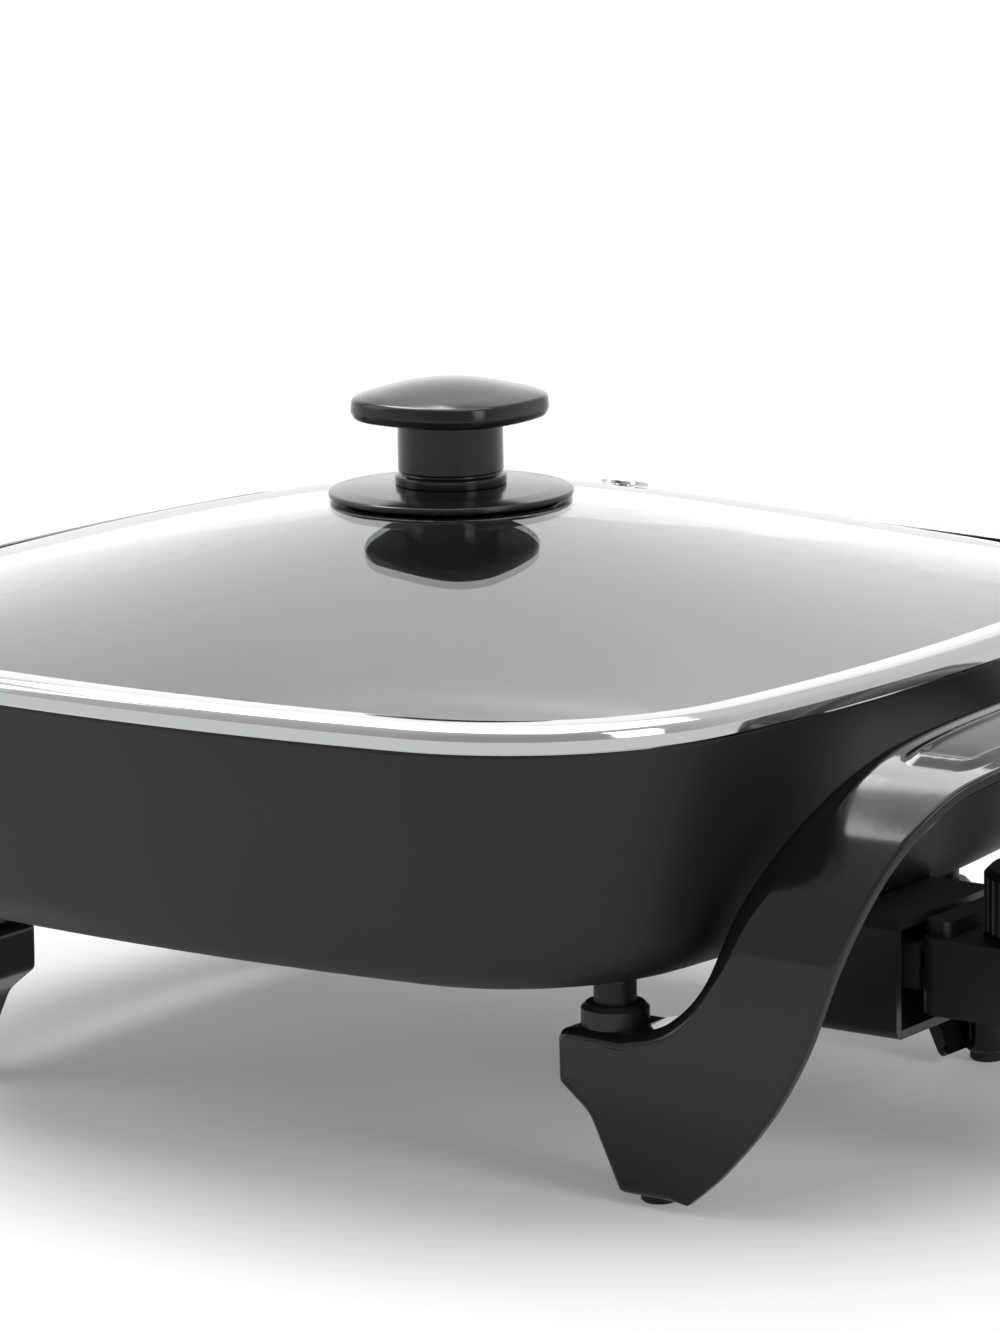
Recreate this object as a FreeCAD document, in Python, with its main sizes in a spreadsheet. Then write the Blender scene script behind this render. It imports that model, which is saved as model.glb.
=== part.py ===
# Electric skillet: a cast square pan on two arched handles with legs, a domed glass lid with a
# steel rim band and a knob, and a plug-in heat control with a dial.
# Millimetres. The pieces are drawn about the centre of the pan, and written with the origin on the
# table at the middle of the whole object. +Z is up, +X is the side with the heat control, and the
# handles stand on the +X and -X sides.
import FreeCAD, Part
import Sketcher
import math
import os
import re
from FreeCAD import Vector

DRIVING_SIZES = {
    # The pan: a square with bowed sides and round corners, wider at its rim.
    "pan_rim_half": 147.0,
    "pan_rim_corner": 66.0,
    "pan_rim_bow": 557.0,
    "pan_base_half": 128.2,
    "pan_base_corner": 57.9,
    "pan_base_bow": 636.0,
    "pan_base_z": 55.6,
    "pan_rim_z": 118.6,
    "pan_wall": 4.0,
    "pan_floor": 6.0,
    "pan_heel_radius": 16.0,
    "pan_cove_radius": 12.0,
    "pan_lip_radius": 1.3,
    # Four cast studs under the pan, which the legs are screwed to.
    "stud_x": 99.7,
    "stud_y": 75.0,
    "stud_radius": 5.2,
    "stud_seat_z": 44.0,
    "stud_screw_depth": 9.0,
    # The tubular element, its two ends and the row that the heat control plugs into.
    "row_z": 51.5,
    "element_radius": 3.25,
    "element_half": 80.0,
    "element_corner": 20.0,
    "element_end_x": 110.0,
    "element_end_bend": 12.0,
    "rib_half_width": 6.0,
    "rib_z": 50.6,
    "pin_y": 14.0,
    "pin_radius": 2.4,
    "pin_tip_x": 134.0,
    "bead_length": 5.0,
    "well_radius": 3.4,
    "well_mouth_x": 118.0,
    "well_depth": 28.0,
    "well_boss_half": 8.5,
    "well_boss_wall": 1.8,
    # The guard round the socket.
    "guard_half": 24.4,
    "guard_z": 32.0,
    "guard_top": 61.4,
    "guard_back_x": 116.0,
    "guard_mouth_x": 147.3,
    "guard_wall": 2.2,
    "guard_round": 2.5,
    "guard_pan_gap": 0.4,
    "ear_x": 109.5,
    "ear_y": 31.0,
    "ear_radius": 5.0,
    "ear_thickness": 3.0,
    "ear_z": 50.0,
    # A handle: an arch across the side of the pan, whose two ends are legs.
    "arch_half": 85.0,
    "arch_depth": 21.0,
    "arch_shoulder": 54.0,
    "arch_crown_rise": 3.0,
    "arch_top": 115.0,
    "inner_shoulder": 38.0,
    "inner_crown_rise": 2.5,
    "inner_top": 99.0,
    "handle_wall": 3.2,
    "handle_edge_wall": 3.5,
    "handle_round": 2.6,
    "handle_rib": 2.4,
    "handle_rib_inset": 16.0,
    "handle_open_step": 7.0,
    "handle_lean": 0.52,
    "platform_x": 89.0,
    "platform_z": 28.2,
    "platform_top": 41.2,
    "leg_bottom_z": 2.6,
    "leg_bottom_in": 106.4,
    "leg_bottom_out": 126.4,
    "handle_outer_x": 203.0,
    "boss_radius": 7.5,
    # The spacers, screws and feet of the legs.
    "collar_radius": 8.3,
    "collar_top": 46.8,
    "collar_recess_gap": 0.1,
    "collar_round": 1.2,
    "screw_radius": 2.0,
    "screw_gap": 0.1,
    "screw_head_radius": 4.0,
    "screw_head": 2.4,
    "foot_x": 113.1,
    "foot_y": 76.8,
    "foot_radius": 4.5,
    "foot_stem_radius": 2.5,
    "foot_stem": 7.0,
    # The glass of the lid and its rim band.
    "lid_half": 150.0,
    "lid_corner": 69.0,
    "lid_bow": 560.0,
    "band_sheet": 0.8,
    "band_bead_z": 125.0,
    "band_lip": 7.0,
    "band_skirt_inset": 9.5,
    "band_skirt_z": 114.0,
    "glass_inset": 1.6,
    "glass_edge_z": 123.0,
    "glass_apex_z": 152.2,
    "glass_power": 1.5,
    "glass_flat_share": 0.2,
    "glass_thickness": 3.6,
    "glass_hole_radius": 4.0,
    "vent_y": 79.0,
    "vent_hole_radius": 3.4,
    "vent_flange_radius": 6.2,
    # The knob.
    "gasket_radius": 26.0,
    "gasket_thickness": 0.4,
    "flange_radius": 31.5,
    "flange_edge": 2.0,
    "flange_rise": 1.0,
    "stem_radius": 13.4,
    "stem_top": 171.1,
    "stem_ring": 1.0,
    "cap_half": 23.4,
    "cap_corner": 16.5,
    "cap_bow": 50.0,
    "cap_z": 170.1,
    "cap_top": 179.9,
    "cap_dome_radius": 66.0,
    "cap_round": 2.4,
    "cap_wall": 2.4,
    "knob_screw_radius": 2.5,
    "knob_screw_tip": 163.0,
    "knob_washer_radius": 11.0,
    "knob_washer": 1.2,
    # The heat control: two shells on a nose block that plugs into the guard.
    "shell_x": 150.0,
    "shell_length": 78.0,
    "shell_half": 19.0,
    "shell_z": 38.2,
    "shell_split_z": 48.5,
    "shell_deck_z": 57.2,
    "shell_wall": 2.2,
    "shell_round": 4.0,
    "hood_top": 61.0,
    "hood_length": 7.0,
    "nose_front_x": 121.0,
    "nose_half": 19.5,
    "nose_z": 44.0,
    "nose_top": 55.0,
    "nose_tail": 8.0,
    "nose_neck_half": 16.6,
    "sleeve_wall": 0.9,
    "sleeve_gap": 0.1,
    "sensor_radius": 3.2,
    "sensor_tip_x": 92.0,
    "sensor_end_x": 168.0,
    "dial_x": 178.7,
    "dial_radius": 18.5,
    "dial_z": 59.4,
    "dial_top": 74.5,
    "dial_flute_radius": 1.0,
    "dial_flutes": 36,
    "dial_wall": 2.4,
    "shaft_radius": 3.0,
    "shaft_z": 46.0,
    "shaft_top": 70.0,
    "shaft_fit": 0.05,
    "bushing_radius": 5.5,
    "bushing_z": 51.0,
    "bushing_top": 59.0,
    "pointer_length": 11.0,
    "pointer_width": 2.0,
    "pointer_depth": 0.8,
    "lamp_x": 210.0,
    "lens_radius": 4.2,
    "lens_top": 58.6,
    "lamp_radius": 2.6,
    "post_radius": 3.4,
    "post_inset": 7.5,
    "front_post_inset": 13.0,
    "post_side": 12.6,
    "shell_screw_radius": 1.4,
    "gland_radius": 7.6,
    "gland_length": 12.0,
    "gland_bore": 3.6,
    "gland_flange": 7.0,
    "gland_z": 47.7,
    "frame_thickness": 1.6,
    "blade_thickness": 0.8,
    "part_gap": 0.3,
}

doc = FreeCAD.newDocument("skillet")
sheet = doc.addObject("Spreadsheet::Sheet", "dims")
for row_number, (size_name, size_value) in enumerate(DRIVING_SIZES.items(), 1):
    sheet.set(f"A{row_number}", size_name)
    sheet.set(f"B{row_number}", str(size_value))
    sheet.setAlias(f"B{row_number}", size_name)
doc.recompute()

exported = []


def bind(text):
    """An expression in which every size name stands for its cell of the sheet."""
    return re.sub(r"\b([a-z]\w*)\b(?!\()", r"dims.\1", text)


def size(text):
    """The present value of an expression of sizes."""
    return float(sheet.evalExpression(bind(text)))


def export(piece):
    """Marks an object as one of the skillet's own pieces."""
    exported.append(piece)
    return piece


# Helpers for bodies with sketches


def new_body(label):
    return doc.addObject("PartDesign::Body", label)


def place(piece, x="0", y="0", z="0"):
    """Puts a piece at a place given by three expressions of sizes."""
    for axis, text in zip("xyz", (x, y, z)):
        piece.setExpression(f".Placement.Base.{axis}", bind(text) if text != "0" else "0")


def sketch_on(body, role, name):
    sketch = body.newObject("Sketcher::SketchObject", name)
    plane = next(item for item in body.Origin.OriginFeatures if item.Role == role)
    sketch.AttachmentSupport = [(plane, "")]
    sketch.MapMode = "FlatFace"
    return sketch


def polygon(sketch, corners):
    """A closed polygon whose corners are pairs of expressions, each bound to the sheet."""
    points = [Vector(size(across), size(up), 0) for across, up in corners]
    for start, end in zip(points, points[1:] + points[:1]):
        sketch.addGeometry(Part.LineSegment(start, end), False)
    count = len(points)
    for line in range(count):
        sketch.addConstraint(Sketcher.Constraint("Coincident", line, 2, (line + 1) % count, 1))
    for line, (across, up) in enumerate(corners):
        for kind, text, value in (("DistanceX", across, points[line].x),
                                  ("DistanceY", up, points[line].y)):
            index = sketch.addConstraint(Sketcher.Constraint(kind, -1, 1, line, 1, value))
            sketch.setExpression(f"Constraints[{index}]", bind(text) if text != "0" else "0")


def turned(label, corners, axis="V_Axis"):
    """A body turned about the vertical axis, or about the X axis, from its half section."""
    body = new_body(label)
    sketch = sketch_on(body, "XZ_Plane", label + "_section")
    polygon(sketch, corners)
    turn = body.newObject("PartDesign::Revolution", label + "_turn")
    turn.Profile = sketch
    turn.ReferenceAxis = (sketch, [axis])
    turn.Angle = 360.0
    sketch.Visibility = False
    body.Tip = turn
    return body


# Helpers for primitives and their booleans


def block(name, x, y, z):
    """A box between three pairs of expressions."""
    box = doc.addObject("Part::Box", name)
    for side, (low, high) in zip(("Length", "Width", "Height"), (x, y, z)):
        box.setExpression(side, bind(f"({high}) - ({low})"))
    place(box, x[0], y[0], z[0])
    return box


def rod(name, radius, length, x="0", y="0", z="0", along="z"):
    """A cylinder that starts at a place and runs along Z, or along X."""
    cylinder = doc.addObject("Part::Cylinder", name)
    cylinder.setExpression("Radius", bind(radius))
    cylinder.setExpression("Height", bind(length))
    if along == "x":
        cylinder.Placement.Rotation = FreeCAD.Rotation(Vector(0, 1, 0), 90)
    place(cylinder, x, y, z)
    return cylinder


def cut(name, base, tool):
    result = doc.addObject("Part::Cut", name)
    result.Base = base
    result.Tool = tool
    return result


def fuse(name, pieces):
    result = doc.addObject("Part::MultiFuse", name)
    result.Shapes = pieces
    result.Refine = True
    return result


def soft_edges(name, base, radius, test):
    """Rounds the edges of a primitive or boolean that pass a test."""
    doc.recompute()
    fillet = doc.addObject("Part::Fillet", name)
    fillet.Base = base
    amount = size(radius)
    fillet.Edges = [(n, amount, amount) for n, edge in enumerate(base.Shape.Edges, 1) if test(edge)]
    return fillet


def runs_along(axis):
    """A test for straight edges that run along one axis."""
    def test(edge):
        if not isinstance(edge.Curve, Part.Line):
            return False
        direction = edge.Curve.Direction
        return abs(abs(getattr(direction, axis)) - 1.0) < 1e-6
    return test


def mirrored(name, source, normal):
    twin = doc.addObject("Part::Mirroring", name)
    twin.Source = source
    twin.Base = Vector(0, 0, 0)
    twin.Normal = normal
    return twin


def pair(label, source, normal):
    """A piece and its mirror image as one group of separate solids."""
    twin = mirrored(label + "_twin", source, normal)
    group = doc.addObject("Part::Compound", label)
    group.Links = [source, twin]
    return group


def four(label, source):
    """A piece at each of the four legs as one group of separate solids."""
    front_pair = pair(label + "_side", source, Vector(1, 0, 0))
    return pair(label, front_pair, Vector(0, 1, 0))


def formed(label, shape):
    """A piece whose shape is worked out in code from the sheet's sizes."""
    piece = doc.addObject("Part::Feature", label)
    piece.Shape = shape
    return piece


# Shapes that are worked out in code


def outline(half, corner, bow, height):
    """A wire of eight tangent arcs: four bowed sides and four round corners."""
    drop = bow - half
    reach = (-2 * drop + math.sqrt(4 * drop ** 2 - 8 * (drop ** 2 - (bow - corner) ** 2))) / 4
    turn = math.atan2(reach, reach + drop)
    edges = []
    for quarter in range(4):
        spin = FreeCAD.Rotation(Vector(0, 0, 1), -90 * quarter)

        def on_side(angle):
            point = Vector(bow * math.sin(angle), bow * math.cos(angle) - drop, 0)
            return spin.multVec(point) + Vector(0, 0, height)

        def on_corner(angle):
            point = Vector(reach + corner * math.sin(angle), reach + corner * math.cos(angle), 0)
            return spin.multVec(point) + Vector(0, 0, height)

        last = math.pi / 2 - turn
        edges.append(Part.Arc(on_side(-turn), on_side(0), on_side(turn)).toShape())
        edges.append(Part.Arc(on_corner(turn), on_corner(math.pi / 4), on_corner(last)).toShape())
    return Part.Wire(edges)


def pan_outline(height, inset):
    """The pan's outline at a height, moved inwards by an inset."""
    share = (height - size("pan_base_z")) / (size("pan_rim_z") - size("pan_base_z"))

    def between(name):
        low, high = size(f"pan_base_{name}"), size(f"pan_rim_{name}")
        return low + share * (high - low) - inset

    return outline(between("half"), between("corner"), between("bow"), height)


def tapered(low, high, inset, heel):
    """A solid of the pan's form between two heights, its lower edge rounded."""
    solid = Part.makeLoft([pan_outline(low, inset), pan_outline(high, inset)], True, True)
    heel_edges = [edge for edge in solid.Edges
                  if edge.BoundBox.ZMax - low < 0.01]
    return solid.makeFillet(heel, heel_edges)


def element_path(height):
    """The run of the element: in from one end, round the square, and out at the other end."""
    half, corner, bend = size("element_half"), size("element_corner"), size("element_end_bend")
    end_x, end_y = size("element_end_x"), size("pin_y")
    step = math.sqrt(0.5)

    def corner_arc(centre_x, centre_y, radius, start, middle, end):
        points = [Vector(centre_x + radius * across, centre_y + radius * up, height)
                  for across, up in (start, middle, end)]
        return Part.Arc(*points).toShape()

    inner = half - corner
    arcs = [
        corner_arc(half + bend, end_y + bend, bend, (0, -1), (-step, -step), (-1, 0)),
        corner_arc(inner, inner, corner, (1, 0), (step, step), (0, 1)),
        corner_arc(-inner, inner, corner, (0, 1), (-step, step), (-1, 0)),
        corner_arc(-inner, -inner, corner, (-1, 0), (-step, -step), (0, -1)),
        corner_arc(inner, -inner, corner, (0, -1), (step, -step), (1, 0)),
        corner_arc(half + bend, -end_y - bend, bend, (-1, 0), (-step, step), (0, 1)),
    ]
    edges = []
    last = Vector(end_x, end_y, height)
    for arc in arcs:
        start = arc.valueAt(arc.FirstParameter)
        edges.append(Part.LineSegment(last, start).toShape())
        edges.append(arc)
        last = arc.valueAt(arc.LastParameter)
    edges.append(Part.LineSegment(last, Vector(end_x, -end_y, height)).toShape())
    return Part.Wire(edges)


def swept(path, section):
    """A solid carried along a path from a section at the path's start."""
    return path.makePipeShell([section], True, False)


def element_solid():
    start = Vector(size("element_end_x"), size("pin_y"), size("row_z"))
    ring = Part.makeCircle(size("element_radius"), start, Vector(1, 0, 0))
    return swept(element_path(size("row_z")), Part.Wire([ring]))


def element_rib():
    """The cast rib that holds the element, a rectangle carried along the same path."""
    x, middle, reach = size("element_end_x"), size("pin_y"), size("rib_half_width")
    low, high = size("rib_z"), size("pan_base_z + 1")
    corners = [Vector(x, middle - reach, low), Vector(x, middle + reach, low),
               Vector(x, middle + reach, high), Vector(x, middle - reach, high)]
    return swept(element_path(low), Part.makePolygon(corners + corners[:1]))


def pan_solid():
    """The cast pan with its studs, element rib, sensor well and screw bosses."""
    base_z, rim_z = size("pan_base_z"), size("pan_rim_z")
    floor_z = base_z + size("pan_floor")
    shell = tapered(base_z, rim_z, 0.0, size("pan_heel_radius"))
    lip = [edge for edge in shell.Edges if edge.BoundBox.ZMin > rim_z - 0.01]
    shell = shell.makeFillet(size("pan_lip_radius"), lip)
    above = 2.0
    cavity = tapered(floor_z, rim_z + above, size("pan_wall"), size("pan_cove_radius"))
    shell = shell.cut(cavity)
    into_floor = base_z + 1.0
    added = [element_rib()]
    drilled = [element_solid()]
    for side_x in (-1, 1):
        for side_y in (-1, 1):
            x, y, seat = side_x * size("stud_x"), side_y * size("stud_y"), size("stud_seat_z")
            added.append(Part.makeCylinder(size("stud_radius"), into_floor - seat, Vector(x, y, seat)))
            drilled.append(Part.makeCylinder(size("screw_radius"), size("stud_screw_depth"),
                                             Vector(x, y, seat)))
    half, mouth = size("well_boss_half"), size("well_mouth_x")
    boss_z = size("row_z - well_radius - well_boss_wall")
    back = mouth - size("well_depth") - 3.0
    added.append(Part.makeBox(mouth - back, 2 * half, into_floor - boss_z, Vector(back, -half, boss_z)))
    drilled.append(Part.makeCylinder(size("well_radius"), size("well_depth"),
                                     Vector(mouth - size("well_depth"), 0, size("row_z")),
                                     Vector(1, 0, 0)))
    ear_top = size("ear_z + ear_thickness")
    for side_y in (-1, 1):
        spot = Vector(size("ear_x"), side_y * size("ear_y"), ear_top)
        added.append(Part.makeCylinder(size("ear_radius"), into_floor - ear_top, spot))
        drilled.append(Part.makeCylinder(size("screw_radius"), size("pan_base_z + 3") - ear_top, spot))
    solid = shell.fuse(added)
    return solid.cut(drilled).removeSplitter()


def pan_clearance():
    """The pan's outer form grown by the gap that the guard keeps from it."""
    gap = size("guard_pan_gap")
    low, high = size("pan_base_z") - gap, size("pan_rim_z")
    return tapered(low, high, -gap, size("pan_heel_radius"))


def arch_face(half, shoulder, rise, top, x):
    """The area under an arch: upright sides, two shoulder arcs and a shallow crown arc."""
    centre_y = half - shoulder
    centre_z = top - rise - shoulder
    crown = (centre_y ** 2 + rise ** 2) / (2 * rise) + shoulder
    crown_z = top - crown
    lean = math.atan2(centre_y, centre_z - crown_z)
    join = Vector(x, centre_y + shoulder * math.sin(lean), centre_z + shoulder * math.cos(lean))
    middle = math.radians(90) - (math.radians(90) - lean) / 2
    bend = Vector(x, centre_y + shoulder * math.sin(middle), centre_z + shoulder * math.cos(middle))
    spring = Vector(x, half, centre_z)

    def other(point):
        return Vector(point.x, -point.y, point.z)

    low = -10.0
    edges = [
        Part.LineSegment(Vector(x, half, low), spring).toShape(),
        Part.Arc(spring, bend, join).toShape(),
        Part.Arc(join, Vector(x, 0, top), other(join)).toShape(),
        Part.Arc(other(join), other(bend), other(spring)).toShape(),
        Part.LineSegment(other(spring), Vector(x, -half, low)).toShape(),
        Part.LineSegment(Vector(x, -half, low), Vector(x, half, low)).toShape(),
    ]
    return Part.Face(Part.Wire(edges))


def tangent_arcs(start, heading, points):
    """Arcs that follow each other smoothly through points, from a heading in degrees."""
    edges = []
    angle = math.radians(heading)
    for end in points:
        chord = end - start
        chord_angle = math.atan2(chord.z, chord.x)
        bend = chord_angle - angle
        middle = (start + end) * 0.5
        sagitta = chord.Length / 2 * math.tan(bend / 2)
        normal = Vector(math.sin(chord_angle), 0, -math.cos(chord_angle))
        edges.append(Part.Arc(start, middle + normal * sagitta, end).toShape())
        angle = chord_angle + bend
        start = end
    return edges


def handle_side():
    """The handle seen from the end of the arch: platform, leg, and the lean out to the grip."""
    top = size("arch_top")
    outer_x, bottom = size("handle_outer_x"), size("leg_bottom_z")
    platform_x, platform_top = size("platform_x"), size("platform_top")
    stud_clear = size("stud_x + collar_radius")
    above = top + 12.0

    def at(x, z):
        return Vector(x, 0, z)

    pan_side = tangent_arcs(at(stud_clear, platform_top), 0, [
        at(platform_x + 43, platform_top + 20), at(outer_x - 59.8, top - 24.4),
        at(outer_x - 51, top - 7.4), at(outer_x - 43, top - 0.4), at(outer_x - 31, top + 3.5)])
    out_side = tangent_arcs(at(size("leg_bottom_out"), bottom), 42, [
        at(142.7, bottom + 15.5), at(158.7, bottom + 39.9), at(168.0, top - 48.5),
        at(outer_x - 24.9, top - 21.2), at(outer_x - 18.5, top - 10.5),
        at(outer_x - 10, top - 4.7), at(outer_x, top - 1)])
    foot_in = at(size("leg_bottom_in"), bottom)
    knee = at(platform_x + 8.8, size("platform_z") - 7.4)
    heel = at(platform_x + 0.4, size("platform_z"))
    edges = [
        Part.LineSegment(at(platform_x, platform_top), at(stud_clear, platform_top)).toShape(),
        *pan_side,
        Part.LineSegment(at(outer_x - 31, top + 3.5), at(outer_x - 31, above)).toShape(),
        Part.LineSegment(at(outer_x - 31, above), at(outer_x, above)).toShape(),
        Part.LineSegment(at(outer_x, above), at(outer_x, top - 1)).toShape(),
        *[edge.reversed() for edge in reversed(out_side)],
        Part.LineSegment(at(size("leg_bottom_out"), bottom), foot_in).toShape(),
        Part.LineSegment(foot_in, knee).toShape(),
        Part.Arc(knee, at(platform_x + 5.6, size("platform_z") - 2.9), heel).toShape(),
        Part.LineSegment(heel, at(platform_x, platform_top)).toShape(),
    ]
    return Part.Face(Part.Wire(Part.__sortEdges__(edges)))


def handle_solid():
    """One handle: the arch carried sideways and trimmed to its side view, then hollowed."""
    reach = size("handle_outer_x + 20")
    along_x = Vector(reach, 0, 0)
    span = size("arch_half + 10")
    across_y = Vector(0, 2 * span, 0)
    half, depth, wall = size("arch_half"), size("arch_depth"), size("handle_wall")
    shoulder, rise, top = size("arch_shoulder"), size("arch_crown_rise"), size("arch_top")
    outside = arch_face(half, shoulder, rise, top, 0).extrude(along_x)
    inside = arch_face(half - depth, size("inner_shoulder"), size("inner_crown_rise"),
                       size("inner_top"), 0).extrude(along_x)
    side = handle_side()
    side.translate(Vector(0, -span, 0))
    solid = outside.cut(inside).common(side.extrude(across_y))
    shoulder_edges = [edge for edge in solid.Edges
                      if on_arch_surface(edge) and on_pan_side(edge)]
    solid = solid.makeFillet(size("handle_round"), shoulder_edges)
    hollow_side = side.makeOffset2D(-size("handle_edge_wall"), 2, False, False, False)
    under_skin = arch_face(half - wall, shoulder - wall, rise, top - wall, 0).extrude(along_x)
    hollow = under_skin.common(hollow_side.extrude(across_y))
    # The side away from the pan is open, so the hollow also runs out through it and the foot.
    hollows = [hollow]
    for step in (1, 2):
        opened = hollow.copy()
        opened.translate(Vector(step * size("handle_open_step"), 0, 0))
        hollows.append(opened)
    foot_x = size("leg_bottom_in + handle_edge_wall")
    hollows.append(Part.makeBox(reach - foot_x, 2 * (half - wall), size("leg_bottom_z + handle_edge_wall + 2"),
                                Vector(foot_x, wall - half, 0)))
    kept = []
    rib = size("handle_rib")
    for y in (-size("arch_half") * 0.42, 0.0, size("arch_half") * 0.42):
        kept.append(Part.makeBox(size("handle_outer_x - handle_rib_inset"), rib, top,
                                 Vector(0, y - rib / 2, size("platform_top") + 20)))
    drilled = []
    platform_z, platform_top = size("platform_z"), size("platform_top")
    for side_y in (-1, 1):
        spot = Vector(size("stud_x"), side_y * size("stud_y"), 0)
        kept.append(Part.makeCylinder(size("boss_radius"), platform_top, spot))
        drilled.append(Part.makeCylinder(size("screw_radius + screw_gap"), platform_top + 1, spot))
        recess = platform_z + size("screw_head + 1")
        drilled.append(Part.makeCylinder(size("screw_head_radius + screw_gap * 4"), recess, spot))
        spot = Vector(size("foot_x"), side_y * size("foot_y"), 0)
        kept.append(Part.makeCylinder(size("foot_stem_radius + 3"), size("leg_bottom_z + foot_stem + 2"), spot))
        drilled.append(Part.makeCylinder(size("foot_stem_radius"), size("leg_bottom_z + foot_stem"), spot))
    hollows = [part.cut(kept) for part in hollows]
    return solid.cut(hollows).cut(drilled).removeSplitter()


def on_pan_side(edge):
    """True for an edge on the pan's side of a line that leans with the handle."""
    middle = edge.valueAt((edge.FirstParameter + edge.LastParameter) / 2)
    line = size("(leg_bottom_in + leg_bottom_out) / 2") + size("handle_lean") * middle.z
    return middle.x < line


def on_arch_surface(edge):
    """True for the long edges where the arch's outer face meets the two trimmed sides."""
    half, shoulder, top = size("arch_half"), size("arch_shoulder"), size("arch_top")
    rise = size("arch_crown_rise")
    centre_y, centre_z = half - shoulder, top - rise - shoulder
    crown = (centre_y ** 2 + rise ** 2) / (2 * rise) + shoulder
    for share in (0.1, 0.5, 0.9):
        first, last = edge.FirstParameter, edge.LastParameter
        point = edge.valueAt(first + share * (last - first))
        y, z = abs(point.y), point.z
        flat = abs(y - half) < 0.01 and z <= centre_z + 0.01
        round_part = abs(math.hypot(y - centre_y, z - centre_z) - shoulder) < 0.01
        crown_part = abs(math.hypot(y, z - (top - crown)) - crown) < 0.01
        if not (flat or (round_part and z > centre_z - 0.01) or (crown_part and z > top - rise - 1)):
            return False
    ends = [vertex.Point for vertex in edge.Vertexes]
    along = (ends[-1] - ends[0]).normalize() if len(ends) > 1 else Vector(0, 0, 0)
    return abs(along.x) < 0.999


def dome_wires(inset, drop):
    """The glass at rising heights: outlines that shrink and grow rounder towards the apex."""
    half = size("lid_half - glass_inset")
    corner_share = size("lid_corner - glass_inset") / half
    bow_share = half / size("lid_bow - glass_inset")
    edge_z, rise = size("glass_edge_z"), size("glass_apex_z - glass_edge_z")
    last = size("glass_flat_share")
    wires = []
    steps = 8
    for step in range(steps + 1):
        share = 1.0 - (1.0 - last) * step / steps
        shape = share ** 2.2
        ring = half * share - inset
        corner = ring * (corner_share * shape + 0.97 * (1 - shape))
        bow = ring / (bow_share * shape + 0.99 * (1 - shape))
        height = edge_z + rise * (1 - share ** size("glass_power")) - drop
        wires.append(outline(ring, corner, bow, height))
    return wires


def glass_flat_z():
    """The height of the flat round the hole for the knob."""
    rise = size("glass_apex_z - glass_edge_z")
    return size("glass_edge_z") + rise * (1 - size("glass_flat_share") ** size("glass_power"))


def glass_top_z(distance):
    """The height of the glass's outer face at a distance from the middle along an axis."""
    share = distance / size("lid_half - glass_inset")
    rise = size("glass_apex_z - glass_edge_z")
    return size("glass_edge_z") + rise * (1 - share ** size("glass_power"))


def glass_solid():
    """The pressed glass: an outer dome less an inner one, with holes for the knob and the vent."""
    thickness, inset = size("glass_thickness"), size("glass_inset")
    half = size("lid_half") - inset
    low = size("glass_edge_z") - thickness
    rim = outline(half, size("lid_corner") - inset, size("lid_bow") - inset, low)
    edge = Part.Face(rim).extrude(Vector(0, 0, thickness))
    outer = edge.fuse(Part.makeLoft(dome_wires(0.0, 0.0), True, False))
    inner = Part.makeLoft(dome_wires(1.6, thickness), True, False)
    solid = outer.cut(inner)
    tall = size("glass_apex_z")
    holes = [Part.makeCylinder(size("glass_hole_radius"), tall),
             Part.makeCylinder(size("vent_hole_radius"), tall, Vector(0, size("vent_y"), 0))]
    return solid.cut(holes).removeSplitter()


def band_solid():
    """The steel band: a folded strip carried round the lid, with a skirt that drops into the pan."""
    half, corner, bow = size("lid_half"), size("lid_corner"), size("lid_bow")
    strip, seat, bead = size("band_sheet"), size("pan_rim_z"), size("band_bead_z")
    lip, skirt, skirt_z = size("band_lip"), size("band_skirt_inset"), size("band_skirt_z")
    lip_z = glass_top_z(half - lip) + 0.2
    section = [(0, seat), (0, seat + 3.0), (0.9, bead - 1.4), (2.9, bead), (lip, lip_z + strip),
               (lip, lip_z), (3.2, bead - strip), (1.5, bead - 1.9), (strip, seat + 2.8),
               (strip, seat + strip), (skirt, seat + strip), (skirt + strip, seat),
               (skirt + strip, skirt_z), (skirt, skirt_z), (skirt, seat)]
    path = outline(half, corner, bow, seat)
    start = path.Edges[0].valueAt(path.Edges[0].FirstParameter)
    tangent = path.Edges[0].tangentAt(path.Edges[0].FirstParameter)
    inward = Vector(tangent.y, -tangent.x, 0)
    if inward.dot(start) > 0:
        inward = inward * -1
    corners = [start + inward * inset + Vector(0, 0, height - seat) for inset, height in section]
    return swept(path, Part.makePolygon(corners + corners[:1]))


# The base: pan, element, guard, handles and legs


def make_pan():
    export(formed("pan_body", pan_solid()))
    export(formed("heating_element", element_solid()))
    gap_x = "element_end_x + bead_length"
    pin = rod("pin_one", "pin_radius", "pin_tip_x - element_end_x",
              "element_end_x", "pin_y", "row_z", "x")
    export(pair("terminal_pins", pin, Vector(0, 1, 0)))
    bead = cut("bead_one",
               rod("bead_outside", "element_radius", "bead_length",
                   "element_end_x", "pin_y", "row_z", "x"),
               rod("bead_bore", "pin_radius", f"({gap_x}) - element_end_x",
                   "element_end_x", "pin_y", "row_z", "x"))
    export(pair("terminal_insulators", bead, Vector(0, 1, 0)))


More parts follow.
